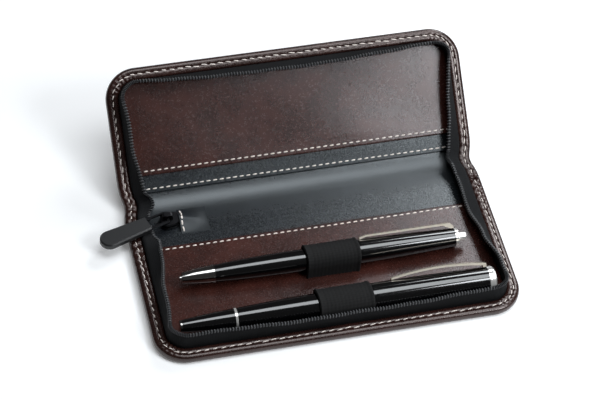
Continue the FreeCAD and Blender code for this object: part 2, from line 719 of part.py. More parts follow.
def pull_tab():
    """Moulded pull: widens from its root to a round end, with bevelled edges and a socket for the link."""
    root = PULL_ROOT_WIDTH / 2
    end = PULL_END_WIDTH / 2
    far = PULL_START + PULL_LENGTH
    reach = far - end - PULL_START
    flare = math.atan2(reach, root) - math.acos(end / math.hypot(root, reach))
    tangent = Vector(far - end - end * math.sin(flare), end * math.cos(flare), 0)
    mirrored = Vector(tangent.x, -tangent.y, 0)
    outline = Part.Wire(
        [
            Part.LineSegment(Vector(PULL_START, -root, 0), mirrored).toShape(),
            Part.Arc(mirrored, Vector(far, 0, 0), tangent).toShape(),
            Part.LineSegment(tangent, Vector(PULL_START, root, 0)).toShape(),
            Part.LineSegment(Vector(PULL_START, root, 0), Vector(PULL_START, -root, 0)).toShape(),
        ]
    )
    block = plate(outline, -PULL_THICKNESS / 2, PULL_THICKNESS / 2)
    rims = []
    for edge in block.Edges:
        if edge.BoundBox.ZLength < TOUCH and edge.BoundBox.XMax > PULL_START + TOUCH:
            rims.append(edge)
    block = block.makeChamfer(PULL_EDGE, rims)
    width = LINK_WINDOW_WIDTH + 2 * LINK_BAR + 2 * PULL_SOCKET_GAP
    height = LINK_THICKNESS + 2 * PULL_SOCKET_GAP
    length = LINK_LENGTH - LINK_BAR / 2 + PULL_SOCKET_GAP
    return block.cut(Part.makeBox(length, width, height, Vector(0, -width / 2, -height / 2)))


def elastic_loop(loop_x, pen_y, radius):
    """Elastic band round a pen: half round above, two straight sides down through the lining's slits."""
    axis_z = pen_height(radius - LOOP_CLEARANCE)
    foot = BOARD_TOP + LAYER_GAP
    outer = loop_outline(loop_x, pen_y, axis_z, radius + LOOP_THICKNESS, foot)
    inner = loop_outline(loop_x, pen_y, axis_z, radius, foot - LOOP_THICKNESS)
    return outer.cut(inner)


def loop_outline(loop_x, pen_y, axis_z, radius, foot):
    """Solid arch: a half circle about the pen's axis on two straight sides down to the foot."""
    left = Vector(loop_x, pen_y - radius, foot)
    left_top = Vector(loop_x, pen_y - radius, axis_z)
    top = Vector(loop_x, pen_y, axis_z + radius)
    right_top = Vector(loop_x, pen_y + radius, axis_z)
    right = Vector(loop_x, pen_y + radius, foot)
    outline = Part.Wire(
        [
            Part.LineSegment(left, left_top).toShape(),
            Part.Arc(left_top, top, right_top).toShape(),
            Part.LineSegment(right_top, right).toShape(),
            Part.LineSegment(right, left).toShape(),
        ]
    )
    return Part.Face(outline).extrude(ALONG * LOOP_WIDTH)


def pen_height(radius):
    """Height of a pen's axis when its widest part lies on the lining."""
    return LINING_TOP + PEN_LIFT + radius


def turned(profile):
    """Solid turned about the X axis from (x, radius) points; a third value bulges the line to that point."""
    points = [Vector(x, 0, r) for x, r, *rest in profile]
    edges = []
    for number, start in enumerate(points):
        place = (number + 1) % len(points)
        end = points[place]
        bulge = profile[place][2] if len(profile[place]) > 2 else 0
        if bulge:
            middle = (start + end) * 0.5 + UP * bulge
            edges.append(Part.Arc(start, middle, end).toShape())
        else:
            edges.append(Part.LineSegment(start, end).toShape())
    return Part.Face(Part.Wire(edges)).revolve(Vector(0, 0, 0), ALONG, 360)


def onto_pen(shape, start_x, pen_y, radius):
    """Carry a shape from a pen's own axis, measured from its end, to its place in the case."""
    placed = shape.copy()
    placed.translate(Vector(start_x, pen_y, pen_height(radius)))
    return placed


def ballpoint_nose():
    """Bright nose cone with its ring, the bore for the refill's tip and a spigot into the barrel."""
    end = NOSE_LENGTH + NOSE_RING
    spigot = BARREL_BORE - BUTTON_CLEARANCE
    chamber = SPRING_RADIUS + SPRING_WIRE + BUTTON_CLEARANCE
    neck = REFILL_NECK_RADIUS + BUTTON_CLEARANCE
    return turned(
        [
            (0, NOSE_BORE_RADIUS),
            (0, NOSE_COLLAR_RADIUS),
            (NOSE_COLLAR_LENGTH, NOSE_COLLAR_RADIUS),
            (NOSE_COLLAR_LENGTH, NOSE_TIP_RADIUS),
            (NOSE_LENGTH, NOSE_BASE_RADIUS, BARREL_BULGE),
            (NOSE_LENGTH, NOSE_RING_RADIUS),
            (end, NOSE_RING_RADIUS),
            (end, spigot),
            (end + NOSE_SPIGOT, spigot),
            (end + NOSE_SPIGOT, chamber),
            (SPRING_SEAT, chamber),
            (SPRING_SEAT, neck),
            (NOSE_BORE_LENGTH, neck),
            (NOSE_BORE_LENGTH, NOSE_BORE_RADIUS),
        ]
    )


def ballpoint_lower_barrel():
    """Lacquered lower barrel, swelling from the nose to the middle, with a spigot for the upper barrel."""
    start = NOSE_LENGTH + NOSE_RING
    end = start + LOWER_BARREL_LENGTH
    spigot = BARREL_BORE + SPIGOT_WALL
    return turned(
        [
            (start, BARREL_BORE),
            (start, BARREL_NOSE_RADIUS),
            (end, LOWER_BARREL_RADIUS, BARREL_BULGE),
            (end, spigot),
            (end + SPIGOT_LENGTH, spigot),
            (end + SPIGOT_LENGTH, BARREL_BORE),
        ]
    )


def ballpoint_upper_barrel():
    """Lacquered upper barrel, tapering to the top ring."""
    start = NOSE_LENGTH + NOSE_RING + LOWER_BARREL_LENGTH
    end = start + UPPER_BARREL_LENGTH
    socket = BARREL_BORE + SPIGOT_WALL + LOOP_CLEARANCE
    return turned(
        [
            (start, socket),
            (start, BALLPOINT_RADIUS),
            (start + LOOP_WIDTH / 2, BALLPOINT_RADIUS),
            (end, UPPER_BARREL_END_RADIUS, BARREL_BULGE),
            (end, BARREL_BORE),
            (start + SPIGOT_LENGTH + LOOP_CLEARANCE, BARREL_BORE),
            (start + SPIGOT_LENGTH + LOOP_CLEARANCE, socket),
        ]
    )


def ballpoint_top_ring():
    """Bright ring round the button's opening."""
    start = BALLPOINT_BARREL_END
    end = start + TOP_RING_LENGTH
    bore = BUTTON_RADIUS + BUTTON_CLEARANCE
    return turned([(start, bore), (start, TOP_RING_RADIUS), (end, TOP_RING_RADIUS), (end, bore)])


def push_button():
    """Push button: rounded head outside the ring, shank in its bore and stem down to the refill."""
    head_start = BALLPOINT_BARREL_END + TOP_RING_LENGTH
    head_end = head_start + BUTTON_LENGTH
    shank_start = head_start - BUTTON_SHANK
    stem_start = shank_start - BUTTON_STEM_LENGTH
    dome = (BUTTON_RADIUS - BUTTON_END_RADIUS) / 2
    return turned(
        [
            (stem_start, 0),
            (stem_start, BUTTON_STEM_RADIUS),
            (shank_start, BUTTON_STEM_RADIUS),
            (shank_start, BUTTON_RADIUS),
            (head_end - dome, BUTTON_END_RADIUS),
            (head_end, BUTTON_END_RADIUS - dome),
            (head_end, 0),
        ]
    )


def ballpoint_refill():
    """Ink refill: long tube, thinner neck inside the spring and a writing tip."""
    tip = REFILL_SETBACK
    cone_end = tip + REFILL_TIP_LENGTH
    shoulder = SPRING_SEAT + SPRING_LENGTH + LOOP_CLEARANCE
    end = BALLPOINT_BARREL_END + TOP_RING_LENGTH - BUTTON_SHANK - BUTTON_STEM_LENGTH
    flange = SPRING_RADIUS + SPRING_WIRE
    return turned(
        [
            (tip, 0),
            (tip, REFILL_TIP_RADIUS),
            (cone_end, REFILL_TIP_RADIUS),
            (cone_end + REFILL_SHOULDER, REFILL_NECK_RADIUS),
            (shoulder, REFILL_NECK_RADIUS),
            (shoulder, flange),
            (shoulder + REFILL_SHOULDER, flange),
            (shoulder + REFILL_SHOULDER, REFILL_RADIUS),
            (end, REFILL_RADIUS),
            (end, 0),
        ]
    )


def ballpoint_spring():
    """Return spring round the refill's neck: one unbroken wire of square section wound in a helix."""
    start = SPRING_SEAT + SPRING_WIRE
    pitch = (SPRING_LENGTH - 2 * SPRING_WIRE) / SPRING_TURNS
    sections = []
    for step in range(SPRING_TURNS * SPRING_TURN_STEPS + 1):
        turn = step / SPRING_TURN_STEPS
        angle = 2 * math.pi * turn
        outwards = Vector(0, math.sin(angle), math.cos(angle))
        middle = ALONG * (start + pitch * turn) + outwards * SPRING_RADIUS
        side = ALONG * SPRING_WIRE
        rise = outwards * SPRING_WIRE
        points = [middle - side - rise, middle + side - rise, middle + side + rise, middle - side + rise]
        sections.append(Part.makePolygon(points + points[:1]))
    return Part.makeLoft(sections, True, True)


def clip_blank(side_edges, width, tip_width, start, length):
    """Clip cut from a side profile and a plan that narrows to its tip; the tip is at start."""
    side = Part.Face(Part.Wire(side_edges))
    side.translate(ACROSS * -width)
    blade = side.extrude(ACROSS * 2 * width)
    far = start + length
    points = [
        Vector(start, -tip_width / 2, 0),
        Vector(far, -width / 2, 0),
        Vector(far, width / 2, 0),
        Vector(start, tip_width / 2, 0),
    ]
    reach = FINIAL_RADIUS + BALLPOINT_RADIUS
    plan = Part.Face(Part.makePolygon(points + points[:1])).extrude(UP * reach)
    blade = blade.common(plan)
    blade.rotate(Vector(0, 0, 0), ALONG, -CLIP_ROLL)
    return blade


def ballpoint_clip():
    """Plain tapered clip of the ballpoint, bent down to the barrel at both ends."""
    end = BALLPOINT_BARREL_END - CLIP_SEAT
    start = end - BALLPOINT_CLIP_LENGTH
    share = (end - start) / UPPER_BARREL_LENGTH
    root = UPPER_BARREL_END_RADIUS + BARREL_BULGE + CLIP_SEAT
    tip = root + (BALLPOINT_RADIUS - UPPER_BARREL_END_RADIUS) * share
    high = tip + BALLPOINT_CLIP_RISE
    low_points = [
        Vector(start, 0, tip),
        Vector(start + 2 * BALLPOINT_CLIP_RISE, 0, tip + CLIP_THICKNESS),
        Vector(end - 3 * BALLPOINT_CLIP_RISE, 0, high - CLIP_THICKNESS),
        Vector(end - BALLPOINT_CLIP_RISE, 0, root),
        Vector(end, 0, root),
    ]
    high_points = [
        Vector(end, 0, high - BALLPOINT_CLIP_RISE),
        Vector(end - BALLPOINT_CLIP_RISE, 0, high),
        Vector(start + 2 * BALLPOINT_CLIP_RISE, 0, high),
        Vector(start, 0, tip + CLIP_THICKNESS),
    ]
    ring = low_points + high_points
    profile = Part.makePolygon(ring + ring[:1])
    return clip_blank(profile.Edges, BALLPOINT_CLIP_WIDTH, BALLPOINT_CLIP_TIP_WIDTH, start, end - start)


def fountain_clip():
    """Bowed clip of the fountain pen's cap: one arc from its tip on the cap to its root near the finial."""
    end = FOUNTAIN_CAP_END - CLIP_SEAT
    start = end - FOUNTAIN_CLIP_LENGTH
    share = FOUNTAIN_CLIP_LENGTH / CAP_LENGTH
    root = CAP_END_RADIUS + BARREL_BULGE + CLIP_SEAT
    tip = root + (CAP_RADIUS - CAP_END_RADIUS) * share
    middle = (start + end) / 2
    crown = (root + tip) / 2 + FOUNTAIN_CLIP_BOW
    sheet = UP * CLIP_THICKNESS
    tip_low = Vector(start, 0, tip)
    crown_low = Vector(middle, 0, crown)
    root_low = Vector(end, 0, root)
    foot_low = Vector(end - 2 * CLIP_THICKNESS, 0, root)
    edges = [
        Part.LineSegment(tip_low, tip_low + sheet).toShape(),
        Part.Arc(tip_low + sheet, crown_low + sheet, root_low + sheet * 2).toShape(),
        Part.LineSegment(root_low + sheet * 2, root_low).toShape(),
        Part.LineSegment(root_low, foot_low).toShape(),
        Part.LineSegment(foot_low, foot_low + sheet).toShape(),
        Part.Arc(foot_low + sheet, crown_low, tip_low).toShape(),
    ]
    return clip_blank(edges, FOUNTAIN_CLIP_WIDTH, FOUNTAIN_CLIP_TIP_WIDTH, start, end - start)


def fountain_tail_tip():
    """Bright disc at the tail's end."""
    edge = TAIL_TIP_LENGTH / 3
    return turned(
        [
            (0, 0),
            (0, TAIL_TIP_RADIUS - edge),
            (edge, TAIL_TIP_RADIUS),
            (TAIL_TIP_LENGTH, TAIL_TIP_RADIUS),
            (TAIL_TIP_LENGTH, 0),
        ]
    )


def fountain_tail_cone():
    """Lacquered tail, swelling towards the tail ring."""
    end = TAIL_TIP_LENGTH + TAIL_CONE_LENGTH
    return turned(
        [
            (TAIL_TIP_LENGTH, 0),
            (TAIL_TIP_LENGTH, TAIL_CONE_END_RADIUS),
            (end, TAIL_CONE_RADIUS, BARREL_BULGE),
            (end, 0),
        ]
    )


def fountain_tail_ring():
    """Bright ring between the tail and the barrel."""
    start = TAIL_TIP_LENGTH + TAIL_CONE_LENGTH
    end = start + TAIL_RING_LENGTH
    return turned([(start, 0), (start, TAIL_RING_RADIUS), (end, TAIL_RING_RADIUS), (end, 0)])


def fountain_barrel():
    """Lacquered ink barrel, hollow for the cartridge and open towards the grip."""
    start = INK_BARREL_START
    end = INK_BARREL_END
    return turned(
        [
            (start, 0),
            (start, INK_BARREL_TAIL_RADIUS),
            (end, INK_BARREL_RADIUS, BARREL_BULGE),
            (end, INK_BARREL_BORE),
            (start + INK_BARREL_CLOSED, INK_BARREL_BORE),
            (start + INK_BARREL_CLOSED, 0),
        ]
    )


def fountain_section():
    """Grip section under the cap: butts on the barrel and narrows towards the nib."""
    start = INK_BARREL_END
    end = start + GRIP_LENGTH
    return turned(
        [
            (start, GRIP_BORE),
            (start, GRIP_RADIUS),
            (end, GRIP_FRONT_RADIUS),
            (end, GRIP_BORE),
        ]
    )


def fountain_cartridge():
    """Ink cartridge in the barrel, up against the grip."""
    end = INK_BARREL_END
    start = end - CARTRIDGE_LENGTH
    return turned([(start, 0), (start, CARTRIDGE_RADIUS), (end, CARTRIDGE_RADIUS), (end, 0)])


def fountain_nib():
    """Nib: a half-round sheet with a shoulder that narrows to its point, seated in the grip."""
    seat = INK_BARREL_END + GRIP_LENGTH - NIB_SEATED
    tip = seat + NIB_LENGTH
    outer = Part.makeCylinder(NIB_RADIUS, NIB_LENGTH, Vector(seat, 0, 0), ALONG)
    sheet = outer.cut(Part.makeCylinder(NIB_RADIUS - NIB_SHEET, NIB_LENGTH, Vector(seat, 0, 0), ALONG))
    half = NIB_SHOULDER_WIDTH / 2
    shoulder = seat + NIB_SHOULDER
    points = [
        Vector(seat, -half, 0),
        Vector(shoulder, -half, 0),
        Vector(tip, -NIB_SHEET, 0),
        Vector(tip, NIB_SHEET, 0),
        Vector(shoulder, half, 0),
        Vector(seat, half, 0),
    ]
    plan = Part.Face(Part.makePolygon(points + points[:1])).extrude(UP * NIB_RADIUS)
    return sheet.common(plan)


def fountain_feed():
    """Ink feed under the nib, a rod that tapers to a slope below the nib's point."""
    start = INK_BARREL_END + GRIP_LENGTH - NIB_SEATED
    taper = start + FEED_LENGTH / 2
    end = start + FEED_LENGTH
    return turned([(start, 0), (start, FEED_RADIUS), (taper, FEED_RADIUS), (end, NIB_SHEET), (end, 0)])


def fountain_cap():
    """Lacquered cap over the grip and nib, closed at its top."""
    start = INK_BARREL_END
    end = start + CAP_LENGTH
    return turned(
        [
            (start, CAP_BORE),
            (start, CAP_RADIUS),
            (start + LOOP_WIDTH / 2, CAP_RADIUS),
            (end, CAP_END_RADIUS, BARREL_BULGE),
            (end, FINIAL_PIN_RADIUS),
            (end - CAP_CLOSED, FINIAL_PIN_RADIUS),
            (end - CAP_CLOSED, CAP_BORE),
        ]
    )


def fountain_inner_cap():
    """Inner cap sleeve that closes round the nib inside the cap."""
    start = INK_BARREL_END + INNER_CAP_START
    end = start + INNER_CAP_LENGTH
    outer = CAP_BORE - INNER_CAP_CLEARANCE
    inner = outer - INNER_CAP_WALL
    return turned(
        [
            (start, inner),
            (start, outer),
            (end, outer),
            (end, 0),
            (end - INNER_CAP_WALL, 0),
            (end - INNER_CAP_WALL, inner),
        ]
    )


def fountain_finial():
    """Bright finial at the cap's end, with its pin through the cap's top."""
    start = FOUNTAIN_CAP_END
    end = start + FINIAL_LENGTH
    pin = FINIAL_PIN_RADIUS - INNER_CAP_CLEARANCE
    return turned(
        [
            (start - CAP_CLOSED, 0),
            (start - CAP_CLOSED, pin),
            (start, pin),
            (start, FINIAL_RADIUS),
            (end - FINIAL_ROUND, FINIAL_RADIUS),
            (end, FINIAL_RADIUS - FINIAL_ROUND),
            (end, 0),
        ]
    )


# Places worked out from the sizes above
BALLPOINT_LOOP = (BALLPOINT_LOOP_X, BALLPOINT_Y, BALLPOINT_RADIUS + LOOP_CLEARANCE)
FOUNTAIN_LOOP = (FOUNTAIN_LOOP_X, FOUNTAIN_Y, CAP_RADIUS + LOOP_CLEARANCE)
SLIDER_X = TAIL_START - LAYER_GAP * 4 - SLIDER_LENGTH
SLIDER_BOTTOM = SPINE_LINING_TOP + SLIDER_CLEARANCE
SLIDER_TOP = SLIDER_BOTTOM + 2 * SLIDER_PLATE + SLIDER_CHANNEL
BRIDGE_X = SLIDER_X + BRIDGE_SETBACK
PULL_HINGE = Vector(
    BRIDGE_X + BRIDGE_STRAP + LINK_CLEARANCE + LINK_BAR / 2,
    ZIP_Y,
    SLIDER_TOP + LINK_CLEARANCE + LINK_THICKNESS / 2,
)


def ballpoint(shape):
    """Place a ballpoint piece in its loop."""
    return onto_pen(shape, BALLPOINT_NOSE_X, BALLPOINT_Y, BALLPOINT_RADIUS)


def fountain(shape):
    """Place a fountain pen piece in its loop."""
    return onto_pen(shape, FOUNTAIN_TAIL_X, FOUNTAIN_Y, CAP_RADIUS)


def lid_lining():
    """Black backing of the lid, under both pockets."""
    return plate(panel_outline(LINING_INSET, FOLD_GAP), BOARD_TOP, BACKING_TOP)


def black_pocket():
    """Black pocket of the lid, whose strip shows below the brown one."""
    return pocket(BLACK_POCKET_EDGE, BLACK_POCKET_DEPTH, BACKING_TOP, BLACK_POCKET_TOP)


def brown_pocket():
    """Brown pocket of the lid, over the black one."""
    return pocket(BROWN_POCKET_EDGE, PANEL_DEPTH, BLACK_POCKET_TOP, BROWN_POCKET_TOP)


def spine_bands():
    """Turned-over leather bands at the spine's two ends."""
    return Part.makeCompound(both_ends(BAND_BOTTOM, RIM_HEIGHT, 0, BAND_WIDTH))


def pieces():
    """Every piece of the case and its pens, by name."""
    interlining_bottom = COVER_LEATHER + LAYER_GAP
    interlining_inset = EDGE_WALL + BOARD_CLEARANCE
    return {
        "base_cover": onto_base(panel_cover()),
        "base_board": onto_base(panel_board()),
        "base_rim_band": onto_base(panel_band()),
        "base_lining": base_lining(),
        "base_zip_tape": onto_base(panel_tape(BASE_LEANS)),
        "base_zip_coil": onto_base(panel_coil(BASE_LEANS)),
        "ballpoint_loop": elastic_loop(*BALLPOINT_LOOP),
        "fountain_pen_loop": elastic_loop(*FOUNTAIN_LOOP),
        "spine_cover": spine_cover(),
        "spine_interlining": spine_sheet(interlining_bottom, SPINE_LINING_BOTTOM, interlining_inset),
        "spine_lining": spine_sheet(SPINE_LINING_BOTTOM, SPINE_LINING_TOP, LINING_INSET),
        "spine_rim_bands": spine_bands(),
        "spine_zip_tape": spine_tape(),
        "spine_zip_coil": spine_coil(),
        "zip_tail_tape": zip_tail_tape(),
        "zip_tail_coil": zip_tail_coil(),
        "zip_end_tab": zip_end_tab(),
        "slider_body": slider_body(),
        "puller_link": onto_pull(puller_link()),
        "pull_tab": onto_pull(pull_tab()),
        "lid_cover": onto_lid(panel_cover()),
        "lid_board": onto_lid(panel_board()),
        "lid_rim_band": onto_lid(panel_band()),
        "lid_lining": onto_lid(lid_lining()),
        "black_pocket": onto_lid(black_pocket()),
        "brown_pocket": onto_lid(brown_pocket()),
        "lid_zip_tape": onto_lid(panel_tape(LID_LEANS)),
        "lid_zip_coil": onto_lid(panel_coil(LID_LEANS)),
        "ballpoint_nose": ballpoint(ballpoint_nose()),
        "ballpoint_lower_barrel": ballpoint(ballpoint_lower_barrel()),
        "ballpoint_upper_barrel": ballpoint(ballpoint_upper_barrel()),
        "ballpoint_top_ring": ballpoint(ballpoint_top_ring()),
        "ballpoint_clip": ballpoint(ballpoint_clip()),
        "ballpoint_spring": ballpoint(ballpoint_spring()),
        "ballpoint_push_button": ballpoint(push_button()),
        "ballpoint_refill": ballpoint(ballpoint_refill()),
        "fountain_pen_tail_tip": fountain(fountain_tail_tip()),
        "fountain_pen_tail": fountain(fountain_tail_cone()),
        "fountain_pen_tail_ring": fountain(fountain_tail_ring()),
        "fountain_pen_barrel": fountain(fountain_barrel()),
        "fountain_pen_section": fountain(fountain_section()),
        "fountain_pen_cartridge": fountain(fountain_cartridge()),
        "fountain_pen_nib": fountain(fountain_nib()),
        "fountain_pen_feed": fountain(fountain_feed()),
        "fountain_pen_cap": fountain(fountain_cap()),
        "fountain_pen_inner_cap": fountain(fountain_inner_cap()),
        "fountain_pen_clip": fountain(fountain_clip()),
        "fountain_pen_finial": fountain(fountain_finial()),
    }


os.makedirs("parts", exist_ok=True)
for name, shape in pieces().items():
    shape.exportStep("parts/" + name + ".step")
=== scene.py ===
"""Fountain pen case: leather, linings, zip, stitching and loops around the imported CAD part."""

import json
import math

import bmesh
import bpy
import numpy as np
from mathutils import Matrix, Vector


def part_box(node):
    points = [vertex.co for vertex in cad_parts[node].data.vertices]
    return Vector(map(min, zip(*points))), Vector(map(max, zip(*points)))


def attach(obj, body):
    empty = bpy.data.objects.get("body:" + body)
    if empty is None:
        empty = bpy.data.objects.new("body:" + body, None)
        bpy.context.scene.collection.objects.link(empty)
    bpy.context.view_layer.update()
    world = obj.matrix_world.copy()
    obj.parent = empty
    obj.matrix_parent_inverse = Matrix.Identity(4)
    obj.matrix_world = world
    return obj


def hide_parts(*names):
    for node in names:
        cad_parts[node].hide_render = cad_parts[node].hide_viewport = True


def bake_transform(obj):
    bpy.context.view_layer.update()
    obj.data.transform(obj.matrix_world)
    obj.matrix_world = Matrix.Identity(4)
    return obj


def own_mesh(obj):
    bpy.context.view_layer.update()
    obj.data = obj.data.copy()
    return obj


bl_info = {
    "name": "Fountain Pen Case",
    "version": (1, 0, 0),
    "blender": (4, 5, 0),
    "location": "3D View > Sidebar > Pen Case",
    "description": "Builds the leather, zip and stitching of an open pen case on its CAD frame",
    "category": "Object",
}

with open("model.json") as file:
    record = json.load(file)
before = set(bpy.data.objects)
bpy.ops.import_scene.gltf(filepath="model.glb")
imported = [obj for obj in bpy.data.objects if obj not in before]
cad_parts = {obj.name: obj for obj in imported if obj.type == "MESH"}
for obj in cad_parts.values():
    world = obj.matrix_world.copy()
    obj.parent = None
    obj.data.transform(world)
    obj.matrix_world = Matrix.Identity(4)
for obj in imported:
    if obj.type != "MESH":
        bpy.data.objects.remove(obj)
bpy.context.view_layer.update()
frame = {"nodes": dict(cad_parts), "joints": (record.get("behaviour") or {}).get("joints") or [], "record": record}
MM = 0.001
LOOK = "look_"
JOINTS = {row["name"]: row for row in frame["joints"]}


def frame_mm(metres):
    """A length of the frame in mm, to a hundredth, because its points have single precision."""
    return round(metres / MM, 2)


# Case in mm, from the frame: half length, front edge, top of the rim band, fold lines, fold height
HALF_LENGTH = frame_mm(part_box("base_cover")[1][0])
FRONT_RUN = frame_mm(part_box("base_cover")[0][1])
BAND_TOP = frame_mm(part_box("base_rim_band")[1][2])
BASE_FOLD = frame_mm(JOINTS["spine_fold"]["pos_m"][1])
LID_FOLD = frame_mm(JOINTS["lid_fold"]["pos_m"][1])
FOLD_HEIGHT = frame_mm(JOINTS["lid_fold"]["pos_m"][2])
PANEL_DEPTH = BASE_FOLD - FRONT_RUN

# The lid lies flat at its fold's lower limit, so that limit is the angle at which it stands open
OPENING = -math.radians(JOINTS["lid_fold"]["range_deg"][0])

# Soft bends in mm: reach of each joint's bend, and the arc of leather between spine and lid
BEND_REACH = 6.0
BEND_START = LID_FOLD - BEND_REACH
BEND_RADIUS = FOLD_HEIGHT + BEND_REACH / math.tan(OPENING / 2)
BEND_END = BEND_START + BEND_RADIUS * OPENING

# Places along the run, which goes from front to back over the case as if it were laid flat
LID_RUN = BEND_END - BEND_REACH
BACK_RUN = LID_RUN + PANEL_DEPTH
MID_RUN = (BASE_FOLD + LID_FOLD) / 2
CREASE_RUN = (BEND_START + BEND_END) / 2

# Rim in mm: corner radius, and how far and over what reach it is drawn in at the crease
CORNER_RADIUS = 14.0
PINCH = 1.6
PINCH_REACH = 6.0

# Rim section as (inwards, upwards) points in mm, from the underside round the outer edge to the band's inside
RIM_SECTION = (
    (6.0, 0.0), (3.0, 0.0), (1.2, 0.15), (0.35, 0.75), (0.0, 1.8), (0.05, 2.9), (0.45, 3.75), (1.3, 4.2),
    (2.2, 4.28), (2.9, 4.12), (3.6, 4.28), (4.6, 4.25), (5.3, 3.95), (5.5, 3.4), (5.35, 3.0), (6.0, 2.6),
)
RIM_SIDES = 56
RIM_RINGS = 420
STITCH_LINE = 2.9
BAND_EDGE = 5.5

# Height at which the rim band's upper face begins, and over what height its relief comes in
FACE_START = 3.4
FACE_FADE = 0.6

# Relief of that face: heights and reach in mm, spreads in places along a half, rates in radians per mm
DIP_DEPTH = 0.16
DIP_REACH = 0.7
DIP_SHARPNESS = 6
PLEAT_HEIGHT = 0.34
PLEAT_SPREAD = 0.045
PLEAT_RATE = 2.4
CREASE_HEIGHT = 0.26
CREASE_SPREAD = 0.16
CREASE_RATE = 1.5
CREASE_SLANT = 0.5

# Leather sheets: points each way, crowding of points towards the sides, and where waves fade near an edge
SHEET_COLUMNS = 121
SHEET_ROWS = 61
SIDE_CROWDING = 0.55
WAVE_FADE = 6.0

# Sheets in mm: inset from the rim's edge, corner radius, and layers: underside, top and edge rounding
COVER_INSET = 4.5
COVER_LAYERS = (0.04, 1.4, 0.3)
LINING_INSET = 6.4
LINING_HALF = HALF_LENGTH - LINING_INSET
LINING_RADIUS = 7.6
LINING_LAYERS = (2.4, 3.6, 0.9)
SPINE_RADIUS = 0.01
SPINE_LAYERS = (1.5, 2.5, 0.05)

# Run at which the spine lining ends under each half's own sheets
SPINE_EDGES = {"base": BASE_FOLD - 6.5, "lid": LID_RUN + 9.0}

# Sheets of the lid: name, finish, near and far edge beyond the lid's start, corner radius, layers, CAD node
LID_SHEETS = (
    ("lid_backing", "black_leather", 7.0, 54.5, 7.6, (1.6, 3.1, 0.3), "lid_lining"),
    ("black_pocket_leather", "pocket_leather", 5.4, 54.4, 7.5, (2.4, 3.75, 0.5), "black_pocket"),
    ("brown_pocket_leather", "lining_leather", 13.3, 54.5, 7.6, (3.0, 4.4, 0.6), "brown_pocket"),
)

# How much higher the lid sheets' waves are than the base lining's
POCKET_WAVES = 2.2

# Zip tape in mm: its line inside the rim, hidden root, knee above the band, free blade and thickness
TAPE_FOOT = 5.85
TAPE_ROOT = 2.6
TAPE_KNEE = 4.3
TAPE_BLADE = 7.0
TAPE_THICKNESS = 0.5
TAPE_RINGS = 360
TAPE_STEPS = 12

# Lean of the tape along each half as (place, degrees), reached over a share of the blade, and its uneven sway
BASE_LEANS = (
    (0, 104), (0.04, 100), (0.14, 66), (0.28, 28), (0.5, 8), (0.9, -8), (1.1, -8), (1.5, 6), (1.62, 9),
    (1.74, 38), (1.86, 70), (2, 68),
)
LID_LEANS = (
    (0, 104), (0.04, 100), (0.14, 45), (0.28, 18), (0.5, 3), (0.9, 30), (1.1, 30), (1.5, 3), (1.72, 38),
    (1.86, 66), (2, 68),
)
LEAN_SHARE = 0.35
LEAN_SWAY = 3.0
SWAY_LENGTHS = (11.0, 4.7)

# Zip's mouth in mm: where each tape starts, and how far it draws back there to let the slider run
BASE_MOUTH = 0.9
LID_MOUTH = 2.4
MOUTH_SETBACK = 1.9
MOUTH_REACH = 5.4

# Zip coil: radius and stand off the tape's edge in mm, groove and swell of a turn as shares of the radius
COIL_RADIUS = 0.88
COIL_STAND = 0.5
COIL_GROOVE = 0.45
COIL_SWELL = 0.6
COIL_STEPS = 8
COIL_SIDES = 10

# Zip's tab: thickness, sink and crease in mm, the crease's width as a share, and how fast its hump falls
TAB_THICKNESS = 0.75
TAB_SINK = 0.15
TAB_CREASE = 0.35
TAB_CREASE_WIDTH = 0.16
TAB_FALL = 1.6
TAB_POINTS = 61

# Threads: radii in mm, and along one stitch its thickness and height over the leather as shares of them
RIM_THREAD = 0.23
SEAM_THREAD = 0.31
BARTACK_THREAD = 0.46
STITCH_SWELL = (0.45, 0.95, 1, 1, 0.95, 0.45)
STITCH_LIFT = (-0.7, 0.04, 0.24, 0.24, 0.04, -0.7)
STITCH_SIDES = 6

# Rim stitches: height over the band and slant in mm, and half length as a share of the pitch
RIM_REST = 0.05
RIM_SLANT = 0.2
RIM_SHARE = 0.34

# Their unevenness: sideways sways in mm and sway of the share, with rates in radians per mm
RIM_SWAYS = (0.16, 0.1)
RIM_SWAY_RATES = (2.7, 1.1)
RIM_SHARE_SWAY = 0.05
RIM_SHARE_RATE = 1.9

# Seams: length of a stitch as a share of the pitch, and its slant in mm
SEAM_SHARE = 0.7
SEAM_SLANT = 0.08

# Each seam's name, body, run, height, half length and slot
SEAMS = (
    ("base_lining_seam", "base", BASE_FOLD - 1.9, 3.62, 72.0, "lining_leather"),
    ("black_pocket_seam", "lid", LID_RUN + 7.4, 3.77, 71.5, "black_leather"),
    ("brown_pocket_seam", "lid", LID_RUN + 15.3, 4.42, 71.5, "lining_leather"),
)

# Bartack across the tab: stitches, reach as a share of the half width, half length as a share of a gap
BARTACK_STITCHES = 5
BARTACK_REACH = 0.86
BARTACK_SHARE = 0.42

# Its place along the tab in mm and as a share, its wander and the wander's rate, and its height over the tab
BARTACK_PLACE = 1.1
BARTACK_FALL = 0.09
BARTACK_WANDER = 0.35
BARTACK_RATE = 4.0
BARTACK_REST = 0.12

# Elastic loops in mm: wall, flare along the pen, skew, edge rounding over the width, the legs' clearance
LOOP_WALL = 0.75
LOOP_FLARE = 0.15
LOOP_SKEW = 0.25
LOOP_ROUNDING = 0.5
LOOP_WIDTH = 24.0
LEG_CLEARANCE = 0.7
LEG_STEPS = 7
ARCH_STEPS = 41
LOOP_ROWS = 61

# Hems and ribs of the loops in mm
HEM_HEIGHT = 0.3
HEM_WIDTH = 1.6
RIB_HEIGHT = 0.06
RIB_PITCH = 1.6

